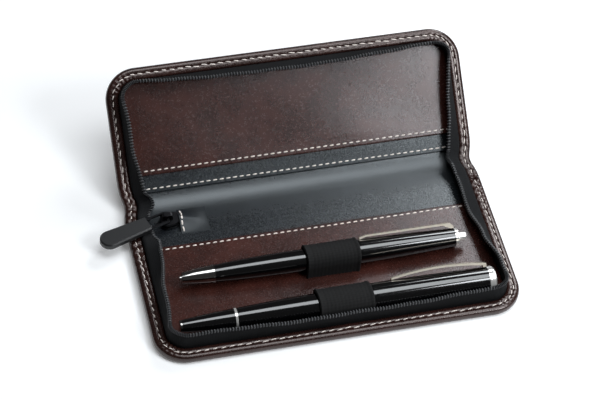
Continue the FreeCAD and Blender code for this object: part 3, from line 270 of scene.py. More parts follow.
# Lacquered pieces turned about X, the sides and number of their rings, and how near a ring a CAD point counts
TURNED = (
    "ballpoint_lower_barrel", "ballpoint_upper_barrel", "fountain_pen_tail", "fountain_pen_barrel",
    "fountain_pen_cap",
)
TURNED_SIDES = 96
TURNED_RINGS = 49
RING_REACH = 0.02

# Meshes: CAD points nearer than this in mm become one, and edges sharper than these degrees stay sharp
MERGE_DISTANCE = 0.002
SHARP_EDGE = 24.0
TUBE_EDGE = 50.0

# Pieces whose finish differs from the rest of their slot, and the slots of finishes without one of their own
FINISHES = {
    # The nose and the tail tip get chrome painted dark: a painted dark reflection of the leather around them.
    "ballpoint_nose": "chrome_painted_dark",
    "fountain_pen_tail_tip": "chrome_painted_dark",
    "fountain_pen_clip": "pale_gold",
}
SHARED_SLOTS = {"pocket_leather": "black_leather", "tab_leather": "black_leather"}

# Leather: scales of its patterns per mm, depths in mm, dark tone as a share, and uneven gloss
CLOUD_SCALE = 0.07
CELL_SCALE = 1.5
PORE_SCALE = 1.9
DENT_SCALE = 0.8
GRAIN_DEPTH = 0.05
DENT_DEPTH = 0.03
DARK_SHARE = 0.2
UNEVEN_GLOSS = 0.16

# Stretch between spine and lid, in mm along Y, where flexing has dulled the leather, and by how much
FLEX_START = 41.0
FLEX_END = 62.0
FLEX_FADE = 9.0
FLEX_DULL = 0.08

# Tints of the leathers' sheen
BROWN_SHEEN = (1.0, 0.89, 0.86)
LINING_SHEEN = (1.0, 0.97, 0.98)
BLACK_SHEEN = (0.91, 0.97, 1.0)

# Cloth: depth of its weave in mm, and the pitch of its cross threads as a multiple of its ribs'
WEAVE_DEPTH = 0.06
THREAD_RATIO = 1.6

# Handling marks on smooth pieces: their scale per mm and how much they vary the roughness
MARK_SCALE = 0.8
MARK_GLOSS = 0.06

# Camera: real distances in mm and angles in degrees, about a point on the lid's crease
CAMERA_YAW = 17.54
CAMERA_ELEVATION = 50.3
CAMERA_ROLL = 5.4
CAMERA_OFFSET = (-0.1, -7.62, 1097.89)
CAMERA_PIVOT = (0.0, 54.2, 4.2)
CAMERA_LENS = 148.5
SENSOR_WIDTH = 36.0

# Floor: half width and depth under the case in metres, colour, and how much lighter it is to the camera
FLOOR_HALF = 4.0
FLOOR_DROP = 0.0001
FLOOR_COLOUR = (0.93, 0.93, 0.935, 1)
FLOOR_LIFT = 0.15

# Soft lights: name, power as a multiple of the setting, size and place in metres
LIGHTS = (
    ("key", 1.5, (0.28, 0.28), (0.36, 0.38, 0.46)),
    ("front", 1.65, (0.28, 0.24), (0.35, -0.3, 0.46)),
    ("top", 6.0, (0.6, 1.0), (0.22, -0.04, 1.2)),
)

# Where the lights point, in metres, their colour, and the strength of the white world
LIGHT_AIM = (0, 0.03, 0)
LIGHT_COLOUR = (0.93, 0.97, 1.0)
WORLD_STRENGTH = 0.05


class PenCaseSettings(bpy.types.PropertyGroup):
    """Sizes, colours and light that may be changed before the case is built."""

    stitch_pitch: bpy.props.FloatProperty(
        name="Rim stitch pitch", description="Distance between rim stitches, in mm",
        default=3.6, min=2.0, max=6.0,
    )
    seam_pitch: bpy.props.FloatProperty(
        name="Seam stitch pitch", description="Distance between lining stitches, in mm",
        default=3.0, min=2.0, max=5.0,
    )
    coil_pitch: bpy.props.FloatProperty(
        name="Coil pitch", description="Distance between turns of the zip coil, in mm",
        default=1.3, min=0.8, max=2.0,
    )
    wrinkle: bpy.props.FloatProperty(
        name="Wrinkle height", description="Height of the leather's soft waves, in mm",
        default=0.1, min=0.0, max=0.4,
    )
    outer_colour: bpy.props.FloatVectorProperty(
        name="Outer leather", description="Light tone of the outer leather",
        subtype="COLOR", default=(0.036, 0.0125, 0.0095),
    )
    lining_colour: bpy.props.FloatVectorProperty(
        name="Brown lining", description="Light tone of the brown lining",
        subtype="COLOR", default=(0.06, 0.0168, 0.0118),
    )
    black_colour: bpy.props.FloatVectorProperty(
        name="Black lining", description="Light tone of the black lining",
        subtype="COLOR", default=(0.007, 0.0092, 0.0125),
    )
    thread_colour: bpy.props.FloatVectorProperty(
        name="Thread", description="Colour of the stitching",
        subtype="COLOR", default=(0.86, 0.78, 0.72),
    )
    key_power: bpy.props.FloatProperty(
        name="Light power", description="Power of which each soft light has a multiple",
        default=1.5, min=0.0, max=200.0, unit="POWER",
    )


def fold(x, run, height):
    """Points in mm of the case at rest: flat along the run up to the bend, an arc, then the raised lid."""
    turned = np.clip((run - BEND_START) / BEND_RADIUS, 0, OPENING)
    beyond = np.maximum(run - BEND_END, 0)
    radius = BEND_RADIUS - height
    y = np.minimum(run, BEND_START) + radius * np.sin(turned) + beyond * math.cos(OPENING)
    z = BEND_RADIUS - radius * np.cos(turned) + beyond * math.sin(OPENING)
    return np.stack(np.broadcast_arrays(x, y, z), axis=-1)


def half_rim(far, distance):
    """Edge of one half at distances from mid spine on the left: x, run and the inward direction in both."""
    way = math.copysign(1, far - MID_RUN)
    side = abs(far - MID_RUN) - CORNER_RADIUS
    corner = math.pi / 2 * CORNER_RADIUS
    front = 2 * (HALF_LENGTH - CORNER_RADIUS)
    first = np.clip((distance - side) / CORNER_RADIUS, 0, math.pi / 2)
    second = np.clip((distance - side - corner - front) / CORNER_RADIUS, 0, math.pi / 2)
    angle = first + second
    out_x = -np.cos(angle)
    out_run = way * np.sin(angle)
    along = np.clip(distance - side - corner, 0, front)
    centre_x = -HALF_LENGTH + CORNER_RADIUS + along
    up = np.minimum(distance, side)
    down = np.maximum(distance - side - 2 * corner - front, 0)
    centre_run = MID_RUN + way * (up - down)
    return centre_x + CORNER_RADIUS * out_x, centre_run + CORNER_RADIUS * out_run, -out_x, -out_run


def rim_length(far):
    """Length of one half's edge between its two ends at mid spine."""
    side = abs(far - MID_RUN) - CORNER_RADIUS
    return 2 * side + math.pi * CORNER_RADIUS + 2 * (HALF_LENGTH - CORNER_RADIUS)


def rim_place(far, distance):
    """Place along a half: 0 at the left spine end, 0.5 and 1.5 at the corners, 2 at the right end."""
    side = abs(far - MID_RUN) - CORNER_RADIUS
    corner = math.pi / 2 * CORNER_RADIUS
    total = rim_length(far)
    knots = [0, side + corner / 2, total - side - corner / 2, total]
    return np.interp(distance, knots, [0, 0.5, 1.5, 2])


def smooth_step(share):
    """Share from 0 to 1 that starts and ends gently: three squares less two cubes."""
    return share * share * (3 - 2 * share)


def eased(knots, place):
    """Values at places between (place, value) knots, with a smooth step between neighbours."""
    places, values = np.array(knots, float).T
    index = np.clip(np.searchsorted(places, place, side="right") - 1, 0, len(places) - 2)
    share = np.clip((place - places[index]) / (places[index + 1] - places[index]), 0, 1)
    return values[index] + (values[index + 1] - values[index]) * smooth_step(share)


def bell(distance, reach):
    """Bell curve that is 1 at distance 0 and about a third at the reach."""
    return np.exp(-((distance / reach) ** 2))


def on_rim(far, distance, inwards, height):
    """Points in mm along a half's edge, inwards from it and above the underside, drawn in at the crease."""
    x, run, in_x, in_run = half_rim(far, distance)
    inwards = inwards + PINCH * bell(run - CREASE_RUN, PINCH_REACH)
    return fold(x + in_x * inwards, run + in_run * inwards, height)


def smooth_loop(points, count):
    """Closed Catmull-Rom curve through points, as count points."""
    corners = np.array(points, float)
    place = np.arange(count) * len(corners) / count
    index = place.astype(int)
    t = (place - index)[:, None]
    before, start, end, after = (corners[(index + k) % len(corners)] for k in (-1, 0, 1, 2))
    bend = 2 * before - 5 * start + 4 * end - after
    turn = 3 * start - before - 3 * end + after
    return 0.5 * (2 * start + (end - before) * t + bend * t**2 + turn * t**3)


def add_mesh(name, points, faces, material):
    """Object from points in mm and face corners, smooth shaded, turned so that its faces point outwards."""
    verts = np.asarray(points, float).reshape(-1, 3) * MM
    mesh = bpy.data.meshes.new(name)
    mesh.from_pydata(verts.tolist(), [], faces)
    mesh.polygons.foreach_set("use_smooth", np.ones(len(faces), bool))
    mesh.update()
    centres = np.empty(len(faces) * 3)
    normals = np.empty(len(faces) * 3)
    areas = np.empty(len(faces))
    mesh.polygons.foreach_get("center", centres)
    mesh.polygons.foreach_get("normal", normals)
    mesh.polygons.foreach_get("area", areas)
    volume = (centres.reshape(-1, 3) * normals.reshape(-1, 3)).sum(1) @ areas
    if volume < 0:
        mesh.flip_normals()
    mesh.materials.append(material)
    obj = bpy.data.objects.new(name, mesh)
    bpy.context.scene.collection.objects.link(obj)
    return obj


def grid_faces(rows, columns, wrap):
    """Quads of a grid of points, whose rows close on themselves where wrap is set."""
    row = np.arange(rows - 1)[:, None] * columns
    above = row + columns
    column = np.arange(columns if wrap else columns - 1)[None, :]
    following = (column + 1) % columns
    corners = (row + column, row + following, above + following, above + column)
    return np.stack([corner.ravel() for corner in corners], axis=1).tolist()


def tube(name, rings, material):
    """Closed tube through rings of points, capped at both ends."""
    count, sides = rings.shape[:2]
    faces = grid_faces(count, sides, True)
    faces.append(list(range(sides))[::-1])
    faces.append(list(range((count - 1) * sides, count * sides)))
    obj = add_mesh(name, rings, faces, material)
    obj.data.set_sharp_from_angle(angle=math.radians(TUBE_EDGE))
    return obj


def slab(name, top, bottom, material):
    """Closed sheet between two equal grids: each row is a ring over the top and back under the bottom."""
    return tube(name, np.concatenate([top, bottom[:, ::-1]], axis=1), material)


def rounded(distance, size):
    """Drop of a sheet's surface near its edge: a quarter round of the given size."""
    reach = 1 - np.clip(distance / size, 0, 1)
    return size * (1 - np.sqrt(1 - reach**2))


def waves(x, run):
    """Soft waves of leather between -1 and 1: three crossing sine waves of unlike lengths."""
    first = np.sin(x / 13.0 + 0.4 * np.sin(run / 9.0))
    second = np.sin((x * 0.6 + run) / 7.3 + 1.3)
    third = np.sin((run * 0.7 - x) / 17.0)
    return (first + second + third) / 3


def panel_grid(half, near, far, radius):
    """Grid of x, run and distance to the edge for a panel with two rounded corners at its far side."""
    even = np.linspace(-1, 1, SHEET_COLUMNS)[:, None]
    crowded = np.sin(math.pi / 2 * even)
    x = half * (SIDE_CROWDING * crowded + (1 - SIDE_CROWDING) * even)
    way = math.copysign(1, far - near)
    past = np.clip(np.abs(x) - (half - radius), 0, radius)
    limit = far - way * (radius - np.sqrt(radius**2 - past**2))
    t = (1 - np.cos(np.linspace(0, math.pi, SHEET_ROWS)))[None, :] / 2
    run = near + (limit - near) * t
    x = np.broadcast_to(x, run.shape)
    margin = np.minimum(np.minimum(half - np.abs(x), np.abs(run - near)), np.abs(limit - run))
    return x, run, margin


def panel(name, material, half, near, far, radius, layers, wrinkle=0.0):
    """Leather sheet of a half: two rounded far corners, rolled edges and soft waves on its top."""
    bottom, top, edge = layers
    x, run, margin = panel_grid(half, near, far, radius)
    upper = top - rounded(margin, edge) + wrinkle * waves(x, run) * np.clip(margin / WAVE_FADE, 0, 1)
    return slab(name, fold(x, run, upper), fold(x, run, np.full_like(x, bottom)), material)


def box_mm(node):
    """Lowest and highest corner of a CAD node in mm."""
    return [np.array(corner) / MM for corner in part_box(node)]


def on_base_fold(obj):
    """Bake a piece's place into its points; it is not made to bend at the fold between base and spine."""
    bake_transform(obj)


def on_lid_fold(obj):
    """Bake a piece's place into its points; it is not made to bend at the fold between spine and lid, whose end
    lies up along the raised lid.
    """
    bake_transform(obj)


HALVES = (("base", FRONT_RUN, on_base_fold), ("lid", BACK_RUN, on_lid_fold))


class Maths:
    """A shader socket that takes part in sums; node() adds any other node behind it."""

    def __init__(self, tree, socket):
        self.tree = tree
        self.socket = socket

    def node(self, kind, output=0, inputs=None, **settings):
        """One output of a new node, whose settings are set first and whose inputs are then set or linked."""
        made = self.tree.nodes.new(kind)
        for key, value in settings.items():
            setattr(made, key, value)
        for key, value in (inputs or {}).items():
            feed(self.tree, made.inputs[key], value)
        return Maths(self.tree, made.outputs[output])

    def math(self, operation, first, second):
        """Result of a Math node."""
        return self.node("ShaderNodeMath", inputs={0: first, 1: second}, operation=operation)

    def __add__(self, other):
        return self.math("ADD", self, other)

    def __sub__(self, other):
        return self.math("SUBTRACT", self, other)

    def __mul__(self, other):
        return self.math("MULTIPLY", self, other)

    __radd__ = __add__
    __rmul__ = __mul__

    def __rsub__(self, other):
        return self.math("SUBTRACT", other, self)

    def ramp(self, low, high):
        """Straight rise from 0 at low to 1 at high."""
        return self.node("ShaderNodeMapRange", inputs={"Value": self, "From Min": low, "From Max": high})

    def mix(self, first, second):
        """Colour between two, by this share."""
        return self.node("ShaderNodeMix", 2, {0: self, 6: first + (1,), 7: second + (1,)}, data_type="RGBA")

    def noise(self, scale, detail, roughness=0.5):
        """Cloudy values between 0 and 1 at this place."""
        inputs = {"Vector": self, "Scale": scale, "Detail": detail, "Roughness": roughness}
        return self.node("ShaderNodeTexNoise", inputs=inputs)

    def bump(self, strength, depth, **under):
        """Surface direction from this height and a depth in mm, over another direction if Normal is given."""
        inputs = {"Height": self, "Strength": strength, "Distance": depth * MM, **under}
        return self.node("ShaderNodeBump", inputs=inputs)

    def output(self, name):
        """Another output of the same node."""
        return Maths(self.tree, self.socket.node.outputs[name])


def feed(tree, socket, value):
    """Link a Maths value to an input, or set the input's own value."""
    if isinstance(value, Maths):
        tree.links.new(value.socket, socket)
    else:
        socket.default_value = value


def surface(name, values):
    """New material with a Principled surface, with its tree, shader and object coordinates in mm."""
    material = bpy.data.materials.new(LOOK + name)
    material.use_nodes = True
    tree = material.node_tree
    shader = tree.nodes["Principled BSDF"]
    for key, value in values.items():
        shader.inputs[key].default_value = value
    place = Maths(tree, tree.nodes.new("ShaderNodeTexCoord").outputs["Object"])
    scale = (1 / MM, 1 / MM, 1 / MM)
    scaled = place.node("ShaderNodeVectorMath", 0, {0: place, 1: scale}, operation="MULTIPLY")
    return material, tree, shader, scaled


def leather(name, colour, roughness, grain, shine, tint):
    """Leather: clouds and pores between a colour and its dark tone, with grain as bump over soft dents.

    The roughness varies with the pores and dents, and rises over the stretch where the case flexes.
    """
    sheen = {"Specular IOR Level": shine, "Specular Tint": tint + (1,)}
    material, tree, shader, place = surface(name, sheen)
    light = tuple(colour)
    dark = tuple(DARK_SHARE * part for part in light)
    cloud = place.noise(CLOUD_SCALE, 6.0, 0.6)
    pores = place.noise(PORE_SCALE, 4.0)
    dents = place.noise(DENT_SCALE, 3.0, 0.55)
    cell_inputs = {"Vector": place, "Scale": CELL_SCALE}
    cells = place.node("ShaderNodeTexVoronoi", 0, cell_inputs, feature="DISTANCE_TO_EDGE")
    tone = cloud.ramp(0.32, 0.68) * 0.65 + pores.ramp(0.3, 0.7) * 0.35
    feed(tree, shader.inputs["Base Color"], tone.mix(dark, light))
    back = place.node("ShaderNodeSeparateXYZ", "Y", {0: place})
    flexed = back.ramp(FLEX_START, FLEX_START + FLEX_FADE) * back.ramp(FLEX_END, FLEX_END - FLEX_FADE)
    by_pores = (pores - 0.5) * UNEVEN_GLOSS
    by_dents = (dents - 0.5) * UNEVEN_GLOSS
    feed(tree, shader.inputs["Roughness"], roughness + flexed * FLEX_DULL + by_pores + by_dents)
    height = cells.ramp(0.0, 0.25) * 0.6 + pores * 0.4
    feed(tree, shader.inputs["Normal"], height.bump(grain, GRAIN_DEPTH, Normal=dents.bump(1.0, DENT_DEPTH)))
    return material


def woven(name, dark, light, pitch, strength):
    """Cloth: sine ribs along X at a pitch in mm and wider threads along Y, as colour and bump."""
    material, tree, shader, place = surface(name, {"Roughness": 0.8, "Specular IOR Level": 0.2})
    along = place.node("ShaderNodeSeparateXYZ", "X", {0: place})
    ribs = place.math("SINE", along * (2 * math.pi / pitch), 0.0)
    threads = place.math("SINE", along.output("Y") * (2 * math.pi / (pitch * THREAD_RATIO)), 0.0)
    height = (ribs * 0.35 + threads * 0.15) + 0.5
    feed(tree, shader.inputs["Base Color"], height.mix(dark, light))
    feed(tree, shader.inputs["Normal"], height.bump(strength, WEAVE_DEPTH))
    return material


def coil_with_painted_highlights(name, dark, light):
    """Zip coil: near-black, with a painted highlight along the crown of each turn, from the mesh's turn attribute.
    """
    material, tree, shader, place = surface(name, {"Roughness": 0.32, "Specular IOR Level": 0.4})
    turn = place.node("ShaderNodeAttribute", "Fac", attribute_name="turn")
    feed(tree, shader.inputs["Base Color"], turn.ramp(0.55, 1.0).mix(dark, light))
    return material


def plain(name, colour, roughness, metallic=0.0, shine=0.5):
    """Smooth material whose roughness varies a little with fine handling marks."""
    material, tree, shader, place = surface(name, {"Metallic": metallic, "Specular IOR Level": shine})
    shader.inputs["Base Color"].default_value = colour + (1,)
    marks = place.noise(MARK_SCALE, 4.0)
    feed(tree, shader.inputs["Roughness"], roughness + (marks - 0.5) * MARK_GLOSS)
    return material


def make_materials():
    """Every finish of the case: one for each record slot, those that share a slot, and the thread."""
    settings = bpy.context.scene.pen_case
    black = settings.black_colour
    leather("brown_leather", settings.outer_colour, roughness=0.26, grain=0.3, shine=0.65, tint=BROWN_SHEEN)
    leather("lining_leather", settings.lining_colour, roughness=0.25, grain=0.3, shine=0.6, tint=LINING_SHEEN)
    leather("black_leather", black, roughness=0.27, grain=0.5, shine=0.8, tint=BLACK_SHEEN)
    leather("pocket_leather", black, roughness=0.27, grain=0.7, shine=0.5, tint=BLACK_SHEEN)
    leather("tab_leather", black, roughness=0.45, grain=0.5, shine=0.45, tint=BLACK_SHEEN)
    woven("zip_tape", (0.002, 0.002, 0.0025), (0.0075, 0.008, 0.009), pitch=0.7, strength=0.6)
    woven("elastic", (0.0035, 0.0035, 0.0038), (0.0145, 0.014, 0.014), pitch=0.55, strength=0.7)
    # The zip coil's light colour is a painted highlight on the turns' crowns.
    coil_with_painted_highlights("zip_coil", (0.0015, 0.0015, 0.002), (0.09, 0.092, 0.097))
    plain("thread", tuple(settings.thread_colour), roughness=0.65)
    plain("slider_metal", (0.035, 0.035, 0.038), roughness=0.34, metallic=1.0)
    plain("pull_rubber", (0.01, 0.01, 0.011), roughness=0.48)
    plain("lacquer", (0.0015, 0.0015, 0.0018), roughness=0.1, shine=1.0)
    plain("chrome", (0.92, 0.9, 0.87), roughness=0.14, metallic=0.7)
    # Chrome painted dark: a painted dark reflection, for the nose and the tail tip.
    plain("chrome_painted_dark", (0.42, 0.41, 0.4), roughness=0.1, metallic=1.0)
    plain("pale_gold", (0.97, 0.88, 0.74), roughness=0.2, metallic=0.6)
    plain("spring_steel", (0.5, 0.5, 0.5), roughness=0.3, metallic=1.0)
    plain("refill_metal", (0.55, 0.53, 0.5), roughness=0.25, metallic=1.0)
    plain("nib_metal", (0.65, 0.65, 0.65), roughness=0.2, metallic=1.0)
    plain("ink_plastic", (0.03, 0.03, 0.035), roughness=0.4)
    plain("board", (0.3, 0.25, 0.2), roughness=0.8)
    plain("interlining", (0.25, 0.23, 0.2), roughness=0.9)


def material_of(finish):
    """The material of a finish; all are made at the first call."""
    if LOOK + finish not in bpy.data.materials:
        make_materials()
    return bpy.data.materials[LOOK + finish]


def finish_piece(obj, slot, *nodes):
    """Hide the CAD nodes that a new piece stands for; the slot is not used."""
    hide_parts(*nodes)


def rim_relief(far, distance, inwards, settings):
    """Height added to the band's face: dips at stitches, pleats at corners, creases at the spine, and waves.

    A dip is a bell across the stitch line times a high power of a cosine along it. Pleats and creases are
    sine waves along the rim, under bells about the corners and about the ends at the spine.
    """
    beat = np.cos(math.pi * distance / settings.stitch_pitch) ** DIP_SHARPNESS
    dips = -DIP_DEPTH * bell(inwards - STITCH_LINE, DIP_REACH) * beat
    place = rim_place(far, distance)
    at_corner = bell(np.abs(place - 1) - 0.5, PLEAT_SPREAD)
    pleats = PLEAT_HEIGHT * at_corner * np.sin(distance * PLEAT_RATE) * np.clip(inwards / BAND_EDGE, 0, 1)
    at_spine = bell(np.minimum(place, 2 - place), CREASE_SPREAD)
    creases = CREASE_HEIGHT * at_spine * np.sin(distance * CREASE_RATE + inwards * CREASE_SLANT)
    return dips + pleats + creases + settings.wrinkle * waves(distance, inwards)


class PENCASE_OT_shell(bpy.types.Operator):
    """Rolled leather rim and outer leather of both halves"""

    bl_idname = "pencase.shell"
    bl_label = "Leather shell"

    def execute(self, context):
        brown = material_of("brown_leather")
        section = np.maximum(smooth_loop(RIM_SECTION, RIM_SIDES), 0)
        face = np.clip((section[:, 1] - FACE_START) / FACE_FADE, 0, 1)[None, :]
        for body, far, join in HALVES:
            distance = np.linspace(0, rim_length(far), RIM_RINGS)[:, None]
            inwards = np.broadcast_to(section[:, 0], (RIM_RINGS, RIM_SIDES))
            relief = rim_relief(far, distance, inwards, context.scene.pen_case)
            height = section[None, :, 1] + face * relief
            rim = tube(body + "_rim_leather", on_rim(far, distance, inwards, height), brown)
            join(rim)
            half, radius = HALF_LENGTH - COVER_INSET, CORNER_RADIUS - COVER_INSET
            edge = far + math.copysign(COVER_INSET, MID_RUN - far)
            cover = panel(body + "_cover_leather", brown, half, MID_RUN, edge, radius, COVER_LAYERS)
            join(cover)
            finish_piece(rim, "brown_leather", body + "_rim_band", "spine_rim_bands")
            covered = (body + "_cover", body + "_board", "spine_cover", "spine_interlining")
            finish_piece(cover, "brown_leather", *covered)
        return {"FINISHED"}


class PENCASE_OT_linings(bpy.types.Operator):
    """Base lining, spine lining and the lid's backing and pockets"""

    bl_idname = "pencase.linings"
    bl_label = "Linings and pockets"

    def execute(self, context):
        wrinkle = context.scene.pen_case.wrinkle
        brown, black = material_of("lining_leather"), material_of("black_leather")
        front = FRONT_RUN + LINING_INSET
        base = panel(
            "base_lining_leather", brown, LINING_HALF, BASE_FOLD, front, LINING_RADIUS, LINING_LAYERS, wrinkle
        )
        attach(base, "base")
        finish_piece(base, "lining_leather", "base_lining")
        for body, far, join in HALVES:
            name, edge = body + "_spine_lining", SPINE_EDGES[body]
            spine = panel(name, black, LINING_HALF, edge, MID_RUN, SPINE_RADIUS, SPINE_LAYERS)
            join(spine)
            finish_piece(spine, "black_leather", "spine_lining")
        for name, finish, near, far, radius, layers, node in LID_SHEETS:
            start, end = LID_RUN + near, LID_RUN + far
            height = POCKET_WAVES * wrinkle
            obj = panel(name, material_of(finish), LINING_HALF, start, end, radius, layers, height)
            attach(obj, "lid")
            finish_piece(obj, SHARED_SLOTS.get(finish, finish), node)
        return {"FINISHED"}


def tape_lines(far, leans, distance):
    """Middle line of the tape at each distance: inwards, height and tilt across the blade.

    The blade is a chain of equal steps. It stands upright at the foot and eases to its lean, which sways a
    little along the rim, and it is shorter by the setback near the zip's mouth.
    """
    place = rim_place(far, distance)
    sway = LEAN_SWAY * np.sin(distance / SWAY_LENGTHS[0]) * np.sin(distance / SWAY_LENGTHS[1])
    lean = np.radians(eased(leans, place) + sway)
    middle = (np.arange(TAPE_STEPS) + 0.5) / TAPE_STEPS
    tilt = lean[:, None] * smooth_step(np.clip(middle / LEAN_SHARE, 0, 1))[None, :]
    knots = ((0, MOUTH_SETBACK), (MOUTH_REACH, MOUTH_SETBACK), (2 * MOUTH_REACH, 0))
    step = (TAPE_BLADE - eased(knots, distance))[:, None] / TAPE_STEPS
    inwards = TAPE_FOOT + np.cumsum(np.sin(tilt), axis=1) * step
    height = TAPE_KNEE + np.cumsum(np.cos(tilt), axis=1) * step
    foot = np.ones((len(distance), 1))
    inwards = np.concatenate([TAPE_FOOT * foot, TAPE_FOOT * foot, inwards], axis=1)
    height = np.concatenate([TAPE_ROOT * foot, TAPE_KNEE * foot, height], axis=1)
    tilt = np.concatenate([0 * foot, 0 * foot, tilt], axis=1)
    return inwards, height, tilt


def zip_tape(name, far, leans, mouth):
    """Tape along a half: its middle line, moved half a thickness to either side, across its tilt."""
    half = TAPE_THICKNESS / 2
    distance = np.linspace(mouth, rim_length(far), TAPE_RINGS)
    inwards, height, tilt = tape_lines(far, leans, distance)
    aside, aloft = half * np.cos(tilt), half * np.sin(tilt)
    outer = on_rim(far, distance[:, None], inwards - aside, height + aloft)
    inner = on_rim(far, distance[:, None], inwards + aside, height - aloft)
    return slab(name, outer, inner, material_of("zip_tape"))


def zip_coil(name, far, leans, mouth, pitch):
    """Coil along the tape's edge: a round tube whose radius swells and shrinks once for each turn."""
    turns = round((rim_length(far) - mouth) / pitch)
    distance = np.linspace(mouth, rim_length(far), turns * COIL_STEPS + 1)
    inwards, height, tilt = tape_lines(far, leans, distance)
    lean = tilt[:, -1:]
    turn = 0.5 + 0.5 * np.sin(np.arange(len(distance)) * 2 * math.pi / COIL_STEPS)
    rib = COIL_RADIUS * (COIL_GROOVE + COIL_SWELL * turn)[:, None]
    around = np.linspace(0, 2 * math.pi, COIL_SIDES, endpoint=False)[None, :]
    along = rib * np.cos(around) + COIL_STAND
    through = rib * np.sin(around)
    across = inwards[:, -1:] + along * np.sin(lean) + through * np.cos(lean)
    rise = height[:, -1:] + along * np.cos(lean) - through * np.sin(lean)
    coil = tube(name, on_rim(far, distance[:, None], across, rise), material_of("zip_coil"))
    # The turn attribute also places the coil's painted highlight on each crown.
    crown = coil.data.attributes.new("turn", "FLOAT", "POINT")
    crown.data.foreach_set("value", np.repeat(turn, COIL_SIDES))
    return coil


def tab_height(share, side, low, high):
    """Height of the zip's tab: a hump that sinks along its length, with a crease down its middle."""
    crown = (high - low) * (1 - share) ** TAB_FALL * np.cos(math.pi / 2 * side) ** 2
    crease = TAB_CREASE * bell(side, TAB_CREASE_WIDTH) * share * (1 - share) * 4
    return low - TAB_SINK + crown + crease * (1 - share)


def zip_tab():
    """Leather tab over the CAD tab's box: a sheet of even thickness that follows the tab's height."""
    low, high = box_mm("zip_end_tab")
    share = np.linspace(0, 1, TAB_POINTS)[:, None]
    side = np.linspace(-1, 1, TAB_POINTS)[None, :]
    x = low[0] + (high[0] - low[0]) * share + 0 * side
    y = (low[1] + high[1]) / 2 + (high[1] - low[1]) / 2 * side + 0 * share
    rise = tab_height(share, side, low[2], high[2])
    over = np.stack([x, y, rise], axis=-1)
    under = np.stack([x, y, rise - TAB_THICKNESS], axis=-1)
    return slab("zip_tab_leather", over, under, material_of("tab_leather"))


class PENCASE_OT_zip(bpy.types.Operator):
    """Zip tapes, ribbed coils and the leather tab over the zip's end"""

    bl_idname = "pencase.zip"
    bl_label = "Zip"

    def execute(self, context):
        pitch = context.scene.pen_case.coil_pitch
        kinds = zip(HALVES, (BASE_LEANS, LID_LEANS), (BASE_MOUTH, LID_MOUTH))
        for (body, far, join), leans, mouth in kinds:
            tape = zip_tape(body + "_tape_cloth", far, leans, mouth)
            join(tape)
            finish_piece(tape, "zip_tape", body + "_zip_tape", "spine_zip_tape")
            coil = zip_coil(body + "_coil_turns", far, leans, mouth, pitch)
            join(coil)
            finish_piece(coil, "zip_coil", body + "_zip_coil", "spine_zip_coil")
        tab = zip_tab()
        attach(tab, "spine")
        finish_piece(tab, SHARED_SLOTS["tab_leather"], "zip_end_tab", "zip_tail_tape")
        return {"FINISHED"}


def stitches(name, start, end, above, radius):
    """Threads between start and end points, each a six-sided capsule that arches up and dips at its ends."""
    rings = len(STITCH_SWELL)
    along = np.linspace(0, 1, rings)[None, :, None]
    swell = np.array(STITCH_SWELL)[None, :, None, None] * radius
    lift = np.array(STITCH_LIFT)[None, :, None] * radius
    middle = start[:, None] + (end - start)[:, None] * along + above[:, None] * lift
    tangent = (end - start) / np.linalg.norm(end - start, axis=1, keepdims=True)
    side = np.cross(tangent, above)
    around = np.linspace(0, 2 * math.pi, STITCH_SIDES, endpoint=False)[None, :, None]
    ring = side[:, None] * np.cos(around) + above[:, None] * np.sin(around)
    points = middle[:, :, None] + ring[:, None] * swell
    first_cap = [[2, 1, 0, 3], [3, 0, 5, 4]]
    last_cap = np.array([[0, 1, 2, 3], [0, 3, 4, 5]]) + STITCH_SIDES * (rings - 1)
    faces = np.concatenate([grid_faces(rings, STITCH_SIDES, True), first_cap, last_cap])
    offset = rings * STITCH_SIDES * np.arange(len(start))[:, None, None]
    every = (faces[None] + offset).reshape(-1, 4)
    return add_mesh(name, points, every.tolist(), material_of("thread"))


def rim_stitches(name, far, pitch):
    """Slanted stitches along the rim's stitch line, whose places and lengths sway a little."""
    middle = (np.arange(int(rim_length(far) / pitch)) + 0.5) * pitch
    sways = [size * np.sin(middle * rate) for size, rate in zip(RIM_SWAYS, RIM_SWAY_RATES)]
    reach = pitch * (RIM_SHARE + RIM_SHARE_SWAY * np.sin(middle * RIM_SHARE_RATE))
    start = on_rim(far, middle - reach, STITCH_LINE - RIM_SLANT + sum(sways), BAND_TOP + RIM_REST)
    end = on_rim(far, middle + reach, STITCH_LINE + RIM_SLANT + sum(sways), BAND_TOP + RIM_REST)
    above = on_rim(far, middle, STITCH_LINE, BAND_TOP + 1) - on_rim(far, middle, STITCH_LINE, BAND_TOP)
    return stitches(name, start, end, above, RIM_THREAD)


def seam_stitches(name, run, height, half, pitch):
    """Straight row of slightly slanted stitches across the case at one run and height."""
    x = np.arange(-half, half, pitch)
    start = fold(x, run - SEAM_SLANT, height)
    end = fold(x + SEAM_SHARE * pitch, run + SEAM_SLANT, height)
    above = fold(x, run, height + 1) - fold(x, run, height)
    return stitches(name, start, end, above, SEAM_THREAD)


def tab_bartack():
    """Short wandering row of thick stitches across the front of the zip's tab."""
    low, high = box_mm("zip_end_tab")
    knots = np.linspace(-BARTACK_REACH, BARTACK_REACH, BARTACK_STITCHES + 1)
    x = low[0] + BARTACK_PLACE + BARTACK_WANDER * np.sin(knots * BARTACK_RATE)
    y = (low[1] + high[1]) / 2 + (high[1] - low[1]) / 2 * knots
    z = tab_height(BARTACK_FALL, knots, low[2], high[2]) + BARTACK_REST
    places = np.stack([x, y, z], axis=1)
    reach = BARTACK_SHARE * (places[1:] - places[:-1])
    middle = (places[1:] + places[:-1]) / 2
    above = np.tile([0.0, 0.0, 1.0], (BARTACK_STITCHES, 1))
    return stitches("tab_bartack", middle - reach, middle + reach, above, BARTACK_THREAD)


